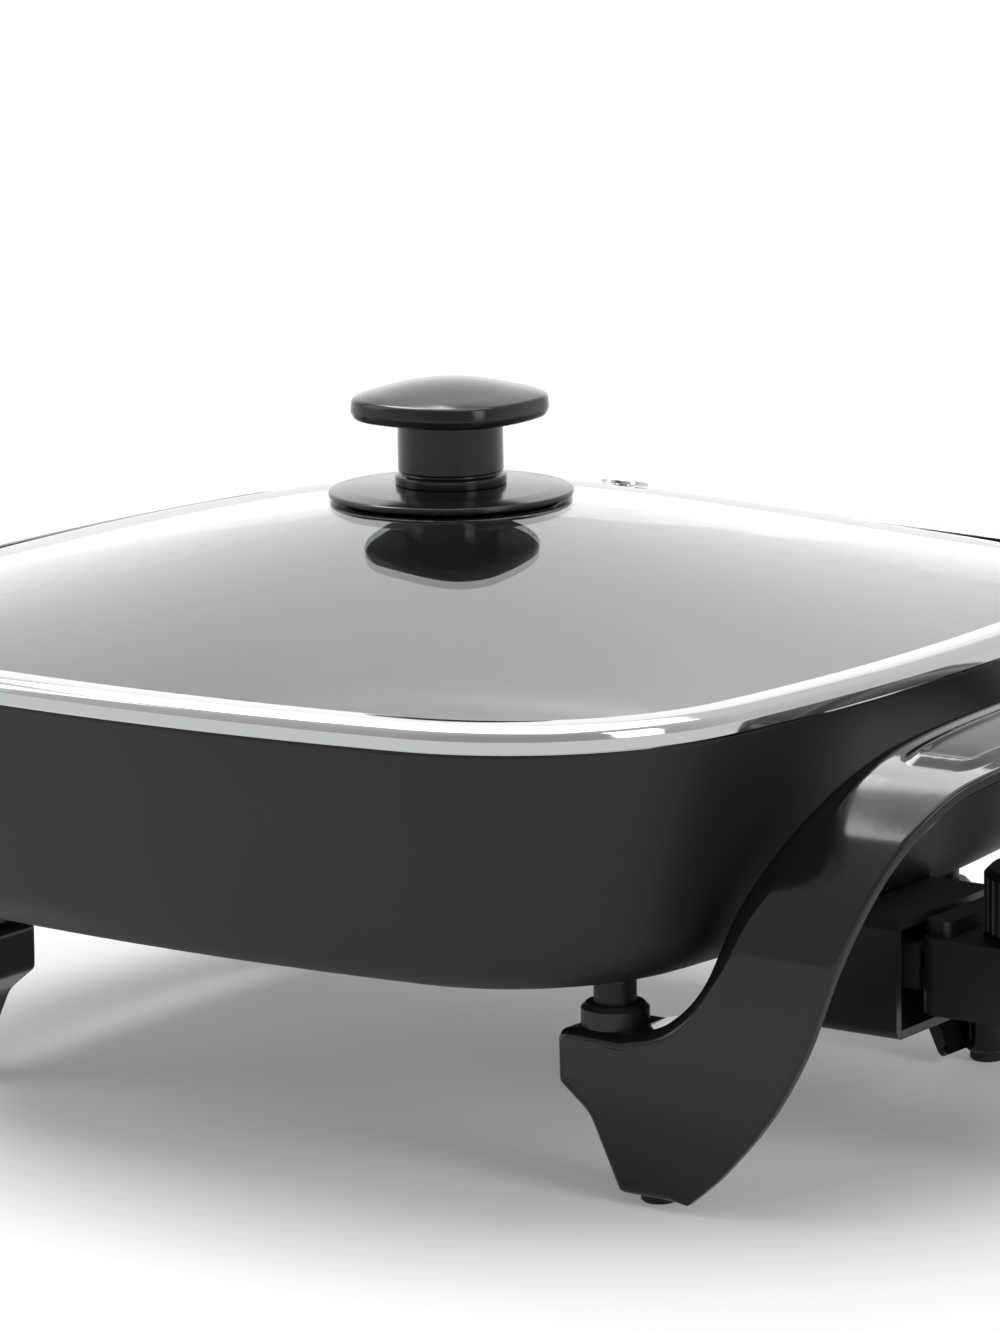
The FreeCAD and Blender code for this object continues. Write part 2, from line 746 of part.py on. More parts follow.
def make_guard():
    """The box round the socket, cut to the pan's underside, with two screwed ears."""
    side = ("-guard_half", "guard_half")
    outside = soft_edges("guard_outside", block("guard_box", ("guard_back_x", "guard_mouth_x"),
                                                side, ("guard_z", "guard_top")),
                         "guard_round", runs_along("x"))
    inside = block("guard_inside", ("guard_back_x - 1", "guard_mouth_x + 1"),
                   ("-guard_half + guard_wall", "guard_half - guard_wall"),
                   ("guard_z + guard_wall", "guard_top - guard_wall"))
    pieces = [cut("guard_tube", outside, inside)]
    for name, sign in (("left", "-"), ("right", "")):
        low, high = (("guard_half - guard_wall", "ear_y") if sign == ""
                     else ("-ear_y", "-guard_half + guard_wall"))
        pieces.append(rod(f"ear_round_{name}", "ear_radius", "ear_thickness",
                          "ear_x", f"{sign}ear_y", "ear_z"))
        pieces.append(block(f"ear_arm_{name}", ("ear_x - ear_radius", "guard_back_x + 4"),
                            (low, high), ("ear_z", "ear_z + ear_thickness")))
    solid = fuse("guard_whole", pieces)
    holes = [rod(f"ear_hole_{name}", "screw_radius + screw_gap", "ear_thickness + 2",
                 "ear_x", f"{sign}ear_y", "ear_z - 1") for name, sign in (("left", "-"), ("right", ""))]
    holes.append(formed("pan_clearance", pan_clearance()))
    export(cut("socket_guard", solid, fuse("guard_cuts", holes)))
    screw = turned("guard_screw_one", screw_section("ear_z", "pan_base_z + 2"))
    place(screw, "ear_x", "ear_y")
    export(pair("guard_screws", screw, Vector(0, 1, 0)))


def screw_section(seat, tip):
    """The half section of a pan-head screw whose head bears on a seat from below."""
    return [("0", f"{seat} - screw_head"), ("screw_head_radius - 0.8", f"{seat} - screw_head"),
            ("screw_head_radius", f"{seat} - screw_head + 0.8"), ("screw_head_radius", seat),
            ("screw_radius", seat), ("screw_radius", tip), ("0", f"({tip}) + 0.8")]


def make_handles():
    right = export(formed("right_handle", handle_solid()))
    export(mirrored("left_handle", right, Vector(1, 0, 0)))
    collar = turned("collar_one", [
        ("screw_radius + screw_gap", "platform_top"), ("collar_radius", "platform_top"),
        ("collar_radius", "collar_top - collar_round"),
        ("collar_radius - collar_round", "collar_top"),
        ("stud_radius + collar_recess_gap", "collar_top"),
        ("stud_radius + collar_recess_gap", "stud_seat_z"),
        ("screw_radius + screw_gap", "stud_seat_z")])
    place(collar, "stud_x", "stud_y")
    export(four("leg_collars", collar))
    screw = turned("leg_screw_one",
                   screw_section("platform_z + screw_head + 1", "stud_seat_z + stud_screw_depth - 1.5"))
    place(screw, "stud_x", "stud_y")
    export(four("leg_screws", screw))
    foot = turned("foot_one", [
        ("0", "0"), ("foot_radius - 0.6", "0"), ("foot_radius", "0.6"), ("foot_radius", "leg_bottom_z"),
        ("foot_stem_radius", "leg_bottom_z"), ("foot_stem_radius", "leg_bottom_z + foot_stem - 0.5"),
        ("0", "leg_bottom_z + foot_stem - 0.5")])
    place(foot, "foot_x", "foot_y")
    export(four("foot_pads", foot))


# The lid: glass, band, vent eyelet and knob


def make_lid():
    flat = glass_flat_z()
    under = flat - size("glass_thickness")
    export(formed("glass_dome", glass_solid()))
    export(formed("rim_band", band_solid()))
    export(formed("vent_eyelet", eyelet_solid()))
    names = (("glass_flat_z", flat), ("glass_under_z", under))
    for row, (name, value) in enumerate(names, len(DRIVING_SIZES) + 1):
        sheet.set(f"A{row}", name)
        sheet.set(f"B{row}", repr(value))
        sheet.setAlias(f"B{row}", name)
    doc.recompute()
    base = "glass_flat_z + gasket_thickness"
    top = f"{base} + flange_edge + flange_rise"
    bore = "knob_screw_radius + screw_gap"
    export(turned("knob_gasket", [
        (bore, "glass_flat_z"), ("gasket_radius", "glass_flat_z"), ("gasket_radius", base), (bore, base)]))
    export(turned("knob_flange", [
        (bore, base), ("flange_radius - 0.8", base), ("flange_radius", f"{base} + 0.8"),
        ("flange_radius - 0.6", f"{base} + flange_edge"),
        ("flange_radius - 5", f"{base} + flange_edge + 0.4"),
        ("flange_radius - 11", f"{base} + flange_edge + 0.8"),
        ("stem_radius + stem_ring + 1.4", top), (bore, top)]))
    export(turned("knob_stem", [
        ("knob_screw_radius", top), ("stem_radius + stem_ring", top),
        ("stem_radius + stem_ring", f"{top} + 2.4"), ("stem_radius", f"{top} + 2.9"),
        ("stem_radius", "stem_top"), ("0", "stem_top"), ("0", "knob_screw_tip + 0.5"),
        ("knob_screw_radius", "knob_screw_tip + 0.5")]))
    export(formed("knob_cap", cap_solid()))
    washer_z = "glass_under_z - knob_washer"
    export(turned("knob_washer", [
        (bore, washer_z), ("knob_washer_radius", washer_z), ("knob_washer_radius", "glass_under_z"),
        (bore, "glass_under_z")]))
    export(turned("knob_screw", [
        ("0", f"{washer_z} - 2.6"), ("4.2", f"{washer_z} - 2.6"), ("5", f"{washer_z} - 1.6"),
        ("5", washer_z), ("knob_screw_radius", washer_z), ("knob_screw_radius", "knob_screw_tip"),
        ("0", "knob_screw_tip")]))


def eyelet_solid():
    """A rolled eyelet through the glass, tilted to stand square to it."""
    y, flange, hole = size("vent_y"), size("vent_flange_radius"), size("vent_hole_radius")
    top = glass_top_z(y)
    slope = math.atan2(glass_top_z(y - 1) - glass_top_z(y + 1), 2.0)
    thick = size("glass_thickness")
    barrel = Part.makeCylinder(hole - 0.6, thick + 2.4, Vector(0, 0, -thick - 1.35))
    head = Part.makeCylinder(flange, 1.1, Vector(0, 0, 0.35))
    head = head.makeFillet(0.5, [edge for edge in head.Edges if edge.BoundBox.ZMin > 1.4])
    tail = Part.makeCylinder(flange - 1.4, 0.9, Vector(0, 0, -thick - 1.35))
    bore = Part.makeCylinder(hole - 1.4, thick + 6, Vector(0, 0, -thick - 3))
    solid = barrel.fuse([head, tail]).cut(bore).removeSplitter()
    solid.rotate(Vector(0, 0, 0), Vector(1, 0, 0), -math.degrees(slope))
    solid.translate(Vector(0, y, top))
    return solid


def cap_solid():
    """The knob's cap: a bowed square with a domed top, hollow below and seated on the stem."""
    half, corner, bow = size("cap_half"), size("cap_corner"), size("cap_bow")
    low, top, ball = size("cap_z"), size("cap_top"), size("cap_dome_radius")
    wall = size("cap_wall")
    solid = Part.Face(outline(half, corner, bow, low)).extrude(Vector(0, 0, top - low + 5))
    solid = solid.common(Part.makeSphere(ball, Vector(0, 0, top - ball)))
    lower = [edge for edge in solid.Edges if edge.BoundBox.ZMax < low + 0.01]
    solid = solid.makeFillet(size("cap_round"), lower)
    upper = [edge for edge in solid.Edges
             if edge.BoundBox.ZMin > low + 4 and edge.BoundBox.DiagonalLength > 6
             and abs(edge.BoundBox.ZMax - edge.BoundBox.ZMin) < 6]
    solid = solid.makeFillet(size("cap_round"), upper)
    seat = size("stem_top")
    socket = Part.makeCylinder(size("stem_radius"), seat - low + 1, Vector(0, 0, low - 1))
    ring_in = size("stem_radius") + wall
    groove = Part.makeCylinder(half - wall - 2, seat - low + 1.2, Vector(0, 0, low - 1))
    groove = groove.cut(Part.makeCylinder(ring_in, seat - low + 4, Vector(0, 0, low - 2)))
    return solid.cut([socket, groove]).removeSplitter()


# The heat control: shells, nose with contacts and sensor, thermostat, lamp and dial


def rounded_block(name, x, y, z, radius, axis="z"):
    return soft_edges(name, block(name + "_box", x, y, z), radius, runs_along(axis))


def make_shells():
    """The two shells, parted at mid height, with posts for the screws."""
    x = ("shell_x", "shell_x + shell_length")
    y = ("-shell_half", "shell_half")
    inner_x = ("shell_x + shell_wall", "shell_x + shell_length - shell_wall")
    inner_y = ("-shell_half + shell_wall", "shell_half - shell_wall")
    low = rounded_block("lower_outside", x, y, ("shell_z", "shell_split_z"), "shell_round")
    low_in = block("lower_inside", inner_x, inner_y, ("shell_z + shell_wall", "shell_split_z + 1"))
    high = rounded_block("upper_outside", x, y, ("shell_split_z", "shell_deck_z"), "shell_round")
    high_in = block("upper_inside", inner_x, inner_y, ("shell_split_z - 1", "shell_deck_z - shell_wall"))
    hood = rounded_block("hood", ("shell_x", "shell_x + hood_length"),
                         ("-shell_half + 3", "shell_half - 3"), ("shell_deck_z - 2", "hood_top"), "2")
    neck = doc.addObject("Part::Cone", "dial_seat")
    neck.setExpression("Radius1", bind("shell_half - 0.2"))
    neck.setExpression("Radius2", bind("dial_radius - 1.5"))
    neck.setExpression("Height", bind("bushing_top - part_gap - shell_deck_z"))
    place(neck, "dial_x", "0", "shell_deck_z")
    posts_low, posts_high, low_holes, high_holes = [], [], [], []
    spots = [("front_left", "shell_x + front_post_inset", "-post_side"),
             ("front_right", "shell_x + front_post_inset", "post_side"),
             ("rear_left", "shell_x + shell_length - post_inset", "-post_side"),
             ("rear_right", "shell_x + shell_length - post_inset", "post_side")]
    for name, post_x, post_y in spots:
        posts_low.append(rod(f"post_low_{name}", "post_radius", "shell_split_z - shell_z",
                             post_x, post_y, "shell_z"))
        posts_high.append(rod(f"post_high_{name}", "post_radius", "shell_deck_z - shell_split_z",
                              post_x, post_y, "shell_split_z"))
        low_holes.append(rod(f"post_hole_{name}", "shell_screw_radius + screw_gap",
                             "shell_split_z - shell_z + 2", post_x, post_y, "shell_z - 1"))
        low_holes.append(rod(f"post_recess_{name}", "2.9", "1.7", post_x, post_y, "shell_z - 0.1"))
        high_holes.append(rod(f"thread_{name}", "shell_screw_radius", "6",
                              post_x, post_y, "shell_split_z - 0.5"))
    tail_slot = block("tail_slot", ("shell_x - 1", "shell_x + shell_wall + 1"),
                      ("-nose_neck_half", "nose_neck_half"), ("nose_z", "nose_top"))
    gland_hole = rod("gland_hole", "gland_radius - 2", "shell_wall + 2",
                     "shell_x + shell_length - shell_wall - 1", "0", "gland_z", "x")
    lower = cut("lower_hollow", low, low_in)
    lower = fuse("lower_posts", [lower, *posts_low])
    export(cut("lower_shell", lower, fuse("lower_cuts", [*low_holes, tail_slot, gland_hole])))
    upper = cut("upper_hollow", high, high_in)
    upper = fuse("upper_posts", [upper, hood, neck, *posts_high])
    bushing_hole = rod("bushing_hole", "bushing_radius", "12", "dial_x", "0", "shell_deck_z - 4")
    lens_hole = rod("lens_hole", "lens_radius - 1", "6", "lamp_x", "0", "shell_deck_z - 4")
    export(cut("upper_shell", upper, fuse("upper_cuts", [
        *high_holes, bushing_hole, lens_hole, twin_box("tail_slot_top", tail_slot),
        twin_box("gland_hole_top", gland_hole)])))
    screw = turned("shell_screw_one", [
        ("0", "shell_z + 0.2"), ("2.6", "shell_z + 0.2"), ("2.6", "shell_z + 1.6"),
        ("shell_screw_radius", "shell_z + 1.6"), ("shell_screw_radius", "shell_split_z + 5"),
        ("0", "shell_split_z + 5.4")])
    place(screw, "shell_x + front_post_inset", "post_side")
    front = pair("shell_screws_front", screw, Vector(0, 1, 0))
    back = copy_along_x("shell_screws_back", front, "shell_length - post_inset - front_post_inset")
    group = doc.addObject("Part::Compound", "shell_screws")
    group.Links = [front, back]
    export(group)


def twin_box(name, source):
    """The same tool again, for a cut in a second piece."""
    group = doc.addObject("Part::Compound", name)
    group.Links = [source]
    return group


def copy_along_x(name, source, distance):
    """A second group moved along X by an expression of sizes."""
    group = doc.addObject("Part::Compound", name)
    group.Links = [source]
    group.setExpression(".Placement.Base.x", bind(distance))
    return group


def make_nose():
    """The block that plugs into the guard, with its two sleeves and the sensor."""
    front = block("nose_block", ("nose_front_x", "shell_x"), ("-nose_half", "nose_half"),
                  ("nose_z", "nose_top"))
    front = soft_edges("nose_soft", front, "1.2", runs_along("x"))
    tail = block("nose_tail_block", ("shell_x - 0.5", "shell_x + nose_tail"),
                 ("-nose_neck_half + part_gap / 3", "nose_neck_half - part_gap / 3"),
                 ("nose_z + part_gap / 3", "nose_top - part_gap / 3"))
    reach = "nose_tail + shell_x - nose_front_x + 2"
    bores = [rod(f"sleeve_bore_{name}", "pin_radius + sleeve_gap + sleeve_wall", reach,
                 "nose_front_x - 1", f"{sign}pin_y", "row_z", "x")
             for name, sign in (("left", "-"), ("right", ""))]
    bores.append(rod("sensor_bore", "sensor_radius", reach, "nose_front_x - 1", "0", "row_z", "x"))
    export(cut("nose_block_piece", fuse("nose_solid", [front, tail]), fuse("nose_bores", bores)))
    exported[-1].Label = "probe_nose"
    sleeve = cut("sleeve_one",
                 rod("sleeve_outside", "pin_radius + sleeve_gap + sleeve_wall", "26",
                     "nose_front_x + 0.5", "pin_y", "row_z", "x"),
                 rod("sleeve_inside", "pin_radius + sleeve_gap", "20",
                     "nose_front_x - 1", "pin_y", "row_z", "x"))
    export(pair("contact_sleeves", sleeve, Vector(0, 1, 0)))
    sensor = turned("sensor_tube", [
        ("sensor_tip_x", "0"), ("sensor_tip_x", "sensor_radius - 1.2"),
        ("sensor_tip_x + 1.2", "sensor_radius"), ("sensor_end_x", "sensor_radius"),
        ("sensor_end_x", "0")], "H_Axis")
    place(sensor, z="row_z")
    export(sensor)


def make_control():
    make_shells()
    make_nose()
    make_dial()
    make_inner_parts()


def make_dial():
    """The dial: a hollow cap with fluted sides on its shaft, with a bright pointer on top."""
    dial = turned("dial", [
        ("shaft_radius", "dial_z + 1"), ("shaft_radius + 2.5", "dial_z + 1"),
        ("shaft_radius + 2.5", "dial_top - dial_wall"), ("dial_radius - dial_wall", "dial_top - dial_wall"),
        ("dial_radius - dial_wall", "dial_z"), ("dial_radius", "dial_z"),
        ("dial_radius", "dial_top - 1.6"), ("dial_radius - 1.6", "dial_top"), ("0", "dial_top"),
        ("0", "shaft_top"), ("shaft_radius", "shaft_top")])
    groove = sketch_on(dial, "XY_Plane", "flute_round")
    groove.AttachmentOffset = FreeCAD.Placement(Vector(0, 0, size("dial_z") - 1), FreeCAD.Rotation())
    circle = Part.Circle(Vector(size("dial_radius"), 0, 0), Vector(0, 0, 1), size("dial_flute_radius"))
    groove.addGeometry(circle, False)
    index = groove.addConstraint(Sketcher.Constraint("Radius", 0, size("dial_flute_radius")))
    groove.setExpression(f"Constraints[{index}]", bind("dial_flute_radius"))
    index = groove.addConstraint(Sketcher.Constraint("DistanceX", -1, 1, 0, 3, size("dial_radius")))
    groove.setExpression(f"Constraints[{index}]", bind("dial_radius + dial_flute_radius * 0.3"))
    groove.addConstraint(Sketcher.Constraint("PointOnObject", 0, 3, -1))
    doc.recompute()
    flute = dial.newObject("PartDesign::Pocket", "flute")
    flute.Profile = groove
    flute.setExpression("Length", bind("dial_top - dial_z - 0.6"))
    flute.Reversed = True
    doc.recompute()
    rows = dial.newObject("PartDesign::PolarPattern", "flutes")
    rows.Originals = [flute]
    rows.Axis = (next(i for i in dial.Origin.OriginFeatures if i.Role == "Z_Axis"), [""])
    rows.Angle = 360.0
    rows.setExpression("Occurrences", bind("dial_flutes"))
    dial.Tip = rows
    slot = sketch_on(dial, "XZ_Plane", "pointer_slot_side")
    polygon(slot, [("dial_radius - 2 - pointer_length", "dial_top - pointer_depth"),
                   ("dial_radius - 2", "dial_top - pointer_depth"),
                   ("dial_radius - 2", "dial_top + 1"),
                   ("dial_radius - 2 - pointer_length", "dial_top + 1")])
    doc.recompute()
    pocket = dial.newObject("PartDesign::Pocket", "pointer_slot")
    pocket.Profile = slot
    pocket.Midplane = True
    pocket.setExpression("Length", bind("pointer_width"))
    dial.Tip = pocket
    place(dial, "dial_x")
    export(dial)
    export(block("dial_pointer",
                 ("dial_x + dial_radius - 2 - pointer_length", "dial_x + dial_radius - 2"),
                 ("-pointer_width / 2", "pointer_width / 2"), ("dial_top - pointer_depth", "dial_top")))
    shaft = turned("dial_shaft", [
        ("0", "shaft_z"), ("shaft_radius", "shaft_z"), ("shaft_radius", "shaft_top"), ("0", "shaft_top")])
    place(shaft, "dial_x")
    export(shaft)


def make_inner_parts():
    """The bushing, thermostat frame and blade, lamp, lens and cord gland."""
    bushing = turned("shaft_bushing", [
        ("shaft_radius + shaft_fit", "bushing_z"), ("bushing_radius + 1.6", "bushing_z"),
        ("bushing_radius + 1.6", "shell_deck_z - shell_wall"),
        ("bushing_radius", "shell_deck_z - shell_wall"), ("bushing_radius", "bushing_top"),
        ("shaft_radius + shaft_fit", "bushing_top")])
    place(bushing, "dial_x")
    export(bushing)
    base_z = "shell_z + shell_wall"
    plate = block("frame_plate", ("sensor_end_x", "dial_x + 20"), ("-9", "9"),
                  (base_z, f"{base_z} + frame_thickness"))
    wall = block("frame_wall", ("dial_x + 20 - frame_thickness", "dial_x + 20"), ("-9", "9"),
                 (base_z, "shell_split_z + 2"))
    export(fuse("thermostat_frame", [plate, wall]))
    blade_z = "shaft_z - part_gap - blade_thickness"
    blade = block("blade_strip", ("sensor_end_x + 2", "dial_x + 20 - frame_thickness"), ("-4", "4"),
                  (blade_z, f"{blade_z} + blade_thickness"))
    export(blade)
    blade.Label = "contact_blade"
    lamp = turned("neon_lamp", [
        ("0", "shell_z + shell_wall"), ("lamp_radius", "shell_z + shell_wall"),
        ("lamp_radius", "shell_deck_z - 4"), ("lamp_radius - 1", "shell_deck_z - 2.4"),
        ("0", "shell_deck_z - 2")])
    place(lamp, "lamp_x")
    export(lamp)
    lens = turned("lamp_lens", [
        ("0", "shell_deck_z - 1.5"), ("lens_radius - 1", "shell_deck_z - 1.5"),
        ("lens_radius - 1", "shell_deck_z"), ("lens_radius", "shell_deck_z"),
        ("lens_radius - 1.4", "lens_top - 0.2"), ("0", "lens_top")])
    place(lens, "lamp_x")
    export(lens)
    gland = turned("cord_gland", [
        ("-shell_wall - 2", "gland_bore"), ("-shell_wall - 2", "gland_flange"),
        ("-shell_wall", "gland_flange"), ("-shell_wall", "gland_radius - 2"), ("0", "gland_radius - 2"),
        ("0", "gland_radius"), ("gland_length", "gland_radius - 1.6"), ("gland_length", "gland_bore")],
        "H_Axis")
    place(gland, "shell_x + shell_length", "0", "gland_z")
    export(gland)


def check_and_write():
    """Refuses a failed object or an invalid shape, then writes one file for each piece."""
    doc.recompute()
    for item in doc.Objects:
        if "Invalid" in item.State or "Error" in item.State:
            raise RuntimeError(f"{item.Name} failed: {item.State}")
    os.makedirs("parts", exist_ok=True)
    middle = size("(shell_x + shell_length + gland_length - handle_outer_x) / 2")
    for piece in exported:
        shape = piece.Shape.copy()
        shape.translate(Vector(-middle, 0, 0))
        if shape.isNull() or not shape.isValid() or not shape.Solids:
            raise RuntimeError(f"{piece.Label} has no valid solid")
        shape.exportStep(os.path.join("parts", piece.Label + ".step"))
        print(f"{piece.Label}: {len(shape.Solids)} solids, {shape.Volume / 1000:.2f} cm3")


make_pan()
make_guard()
make_handles()
make_lid()
make_control()
check_and_write()
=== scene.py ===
import math

import bpy
import numpy as np
from mathutils import Matrix, Vector


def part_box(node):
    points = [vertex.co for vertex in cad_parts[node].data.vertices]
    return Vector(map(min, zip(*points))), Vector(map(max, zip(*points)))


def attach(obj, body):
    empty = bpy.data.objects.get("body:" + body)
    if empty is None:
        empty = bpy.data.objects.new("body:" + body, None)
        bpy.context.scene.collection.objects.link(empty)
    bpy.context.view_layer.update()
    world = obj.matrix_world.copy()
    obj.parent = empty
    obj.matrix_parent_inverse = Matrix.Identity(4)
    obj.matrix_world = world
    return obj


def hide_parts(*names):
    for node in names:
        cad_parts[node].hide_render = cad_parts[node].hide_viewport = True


bl_info = {
    "name": "Electric skillet looks",
    "version": (1, 0, 0),
    "blender": (4, 5, 0),
    "location": "View3D > Sidebar > Skillet",
    "description": "Builds the surfaces, finishes and stage of an electric skillet round its frame",
    "category": "Object",
}

MM = 0.001
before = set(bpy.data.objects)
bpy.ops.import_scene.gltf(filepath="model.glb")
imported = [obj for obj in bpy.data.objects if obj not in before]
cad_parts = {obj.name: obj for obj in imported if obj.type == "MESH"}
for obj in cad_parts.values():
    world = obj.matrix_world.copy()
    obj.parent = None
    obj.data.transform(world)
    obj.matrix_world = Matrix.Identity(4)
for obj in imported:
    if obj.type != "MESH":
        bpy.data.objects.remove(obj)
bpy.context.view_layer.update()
PAN_CORNERS = [np.array(corner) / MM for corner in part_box("pan_body")]
PAN_CENTRE = np.append((PAN_CORNERS[0] + PAN_CORNERS[1])[:2] / 2, 0.0)


def node_box(name):
    """Lowest and highest corner of a CAD node, in millimetres about the pan's centre."""
    low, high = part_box(name)
    return np.array(low) / MM - PAN_CENTRE, np.array(high) / MM - PAN_CENTRE


# Sizes in millimetres that the surfaces take from the frame
RIM_Z = node_box("pan_body")[1][2]
BAND_HALF = node_box("rim_band")[1][0]
GLASS_HALF = node_box("glass_dome")[1][0]
KNOB_BASE = node_box("knob_flange")[0][2]
CAP_Z, CAP_TOP = node_box("knob_cap")[0][2], node_box("knob_cap")[1][2]


def linear(code):
    """Linear RGBA for an sRGB hex code."""
    parts = [int(code[i:i + 2], 16) / 255 for i in (1, 3, 5)]
    return (*[p / 12.92 if p <= 0.04045 else ((p + 0.055) / 1.055) ** 2.4 for p in parts], 1.0)


def colour(name, code, words):
    """A colour setting whose default is an sRGB hex code."""
    return bpy.props.FloatVectorProperty(name=name, description=words, subtype="COLOR", size=4,
                                         min=0.0, max=1.0, default=linear(code))


def length(name, value, words):
    """A size in millimetres, held in metres."""
    return bpy.props.FloatProperty(name=name, description=words, default=value * MM, unit="LENGTH")


class SkilletColours(bpy.types.PropertyGroup):
    """Colours of the finishes."""
    coating: colour("Coating", "#19191a", "Non-stick coating of the pan")
    phenolic: colour("Phenolic", "#151517", "Gloss phenolic of handles and knob")
    steel: colour("Steel", "#bfc1c1", "Polished stainless rim band")
    glass: colour("Glass", "#f4f8f7", "Clear tempered glass")
    control: colour("Control", "#1a1d1e", "Moulded plastic of the heat control and guard")
    floor: colour("Floor", "#f2f2f3", "Pale floor")


class SkilletSizes(bpy.types.PropertyGroup):
    """Sizes that set how the surfaces look."""
    handle_wall: length("Handle wall", 3.2, "Thickness of the moulded handle")
    shoulder: length("Shoulder", 9.0, "Rounding of a handle's pan-side edge at the grip")
    edge_round: length("Edge rounding", 0.9, "Rounding of a handle's thin outer edge")
    glass_wall: length("Glass wall", 3.6, "Thickness of the lid's glass")
    panel_height: length("Panel height", 0.9, "How far the grip panel stands up")


def colours():
    """The colours of the panel."""
    return bpy.context.scene.skillet_colours


def sizes(name):
    """A size of the panel in millimetres."""
    return getattr(bpy.context.scene.skillet_sizes, name) / MM


# Meshes from arrays

SHARP_ANGLE = math.radians(38)


def add_piece(name, points, faces, material, body, node):
    """A smooth mesh piece that rides on a body and stands for a CAD node. Its points are in
    millimetres about the pan's centre."""
    mesh = bpy.data.meshes.new(name)
    points = (np.asarray(points, float).reshape(-1, 3) + PAN_CENTRE) * MM
    mesh.from_pydata(points.tolist(), [], faces)
    mesh.polygons.foreach_set("use_smooth", [True] * len(mesh.polygons))
    mesh.validate()
    mesh.update()
    piece = bpy.data.objects.new(name, mesh)
    bpy.context.scene.collection.objects.link(piece)
    mesh.materials.append(material)
    mesh.set_sharp_from_angle(angle=SHARP_ANGLE)
    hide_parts(node)
    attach(piece, body)


def grid_faces(rows, columns, loop_rows=False):
    """Quads of a grid whose columns close into a loop, and whose rows do too if asked."""
    row_count = rows if loop_rows else rows - 1
    i, j = np.meshgrid(np.arange(row_count), np.arange(columns), indexing="ij")
    i2, j2 = (i + 1) % rows, (j + 1) % columns
    quads = np.stack([i * columns + j, i * columns + j2, i2 * columns + j2, i2 * columns + j], -1)
    return quads.reshape(-1, 4).tolist()


def capped(points):
    """Points and faces of a stack of closed rings whose two ends are closed by a pole."""
    rows, columns = points.shape[:2]
    low, high = rows * columns, rows * columns + 1
    base = (rows - 1) * columns
    ring = np.arange(columns)
    after = (ring + 1) % columns
    faces = grid_faces(rows, columns)
    faces += np.stack([after, ring, np.full(columns, low)], -1).tolist()
    faces += np.stack([base + ring, base + after, np.full(columns, high)], -1).tolist()
    return np.vstack([points.reshape(-1, 3), points[0].mean(0), points[-1].mean(0)]), faces


def joined(parts):
    """One array of points and one list of faces from several pairs of them."""
    points, faces, start = [], [], 0
    for part_points, part_faces in parts:
        points.append(part_points.reshape(-1, 3))
        faces += [[start + k for k in face] for face in part_faces]
        start += len(points[-1])
    return np.vstack(points), faces


def outline(half, corner, bow, count):
    """Eight tangent arcs round a square: a side arc bows out with radius bow about a centre below
    the middle, and a corner arc of radius corner meets it where their directions agree."""
    half, corner, bow = (np.asarray(value, float)[..., None] for value in (half, corner, bow))
    drop = bow - half
    reach = (-2 * drop + np.sqrt(4 * drop ** 2 - 8 * (drop ** 2 - (bow - corner) ** 2))) / 4
    turn = np.arctan2(reach, reach + drop)
    share = np.linspace(0, 1, count, endpoint=False)
    side = turn * (2 * share - 1)
    round_part = turn + (math.pi / 2 - 2 * turn) * share
    across = np.concatenate([bow * np.sin(side), reach + corner * np.sin(round_part)], -1)
    up = np.concatenate([bow * np.cos(side) - drop, reach + corner * np.cos(round_part)], -1)
    quarters = [(across, up), (up, -across), (-across, -up), (-up, across)]
    return np.stack([np.concatenate([q[0] for q in quarters], -1),
                     np.concatenate([q[1] for q in quarters], -1)], -1)


def stack(half, corner, bow, height, count):
    """Outlines at rising heights: one ring for each entry of the four arrays."""
    half, corner, bow, height = np.broadcast_arrays(half, corner, bow, height)
    flat = outline(half, corner, bow, count)[:, ::-1]
    tall = np.broadcast_to(np.asarray(height, float)[:, None, None], (*flat.shape[:2], 1))
    return np.concatenate([flat, tall], -1)


def turned(profile, centre=(0.0, 0.0), count=128):
    """A profile of radius and height carried round an upright axis."""
    profile = np.asarray(profile, float)
    angle = np.linspace(0, 2 * math.pi, count, endpoint=False)
    radius, height = profile[:, :1], profile[:, 1:]
    return np.stack([centre[0] + radius * np.cos(angle), centre[1] + radius * np.sin(angle),
                     height + 0 * angle], -1)


def rounded_path(corners, steps=7):
    """A polyline whose corners (across, up, radius) are replaced by arcs of their radius."""
    corners = [np.array(c, float) for c in corners]
    path = [corners[0][:2]]
    for before, at, after in zip(corners, corners[1:], corners[2:]):
        back, ahead = before[:2] - at[:2], after[:2] - at[:2]
        back_length, ahead_length = np.hypot(*back), np.hypot(*ahead)
        back, ahead = back / back_length, ahead / ahead_length
        angle = math.acos(float(np.clip(back @ ahead, -1, 1)))
        if at[2] <= 0 or angle > math.pi - 0.01:
            path.append(at[:2])
            continue
        cut = min(at[2] / math.tan(angle / 2), back_length * 0.49, ahead_length * 0.49)
        radius = cut * math.tan(angle / 2)
        middle = (back + ahead) / np.hypot(*(back + ahead))
        centre = at[:2] + middle * radius / math.sin(angle / 2)
        start, end = at[:2] + back * cut - centre, at[:2] + ahead * cut - centre
        first = math.atan2(start[1], start[0])
        sweep = (math.atan2(end[1], end[0]) - first + math.pi) % (2 * math.pi) - math.pi
        turn = first + sweep * np.linspace(0, 1, steps)
        path.extend(centre + radius * np.stack([np.cos(turn), np.sin(turn)], -1))
    path.append(corners[-1][:2])
    return np.array(path)


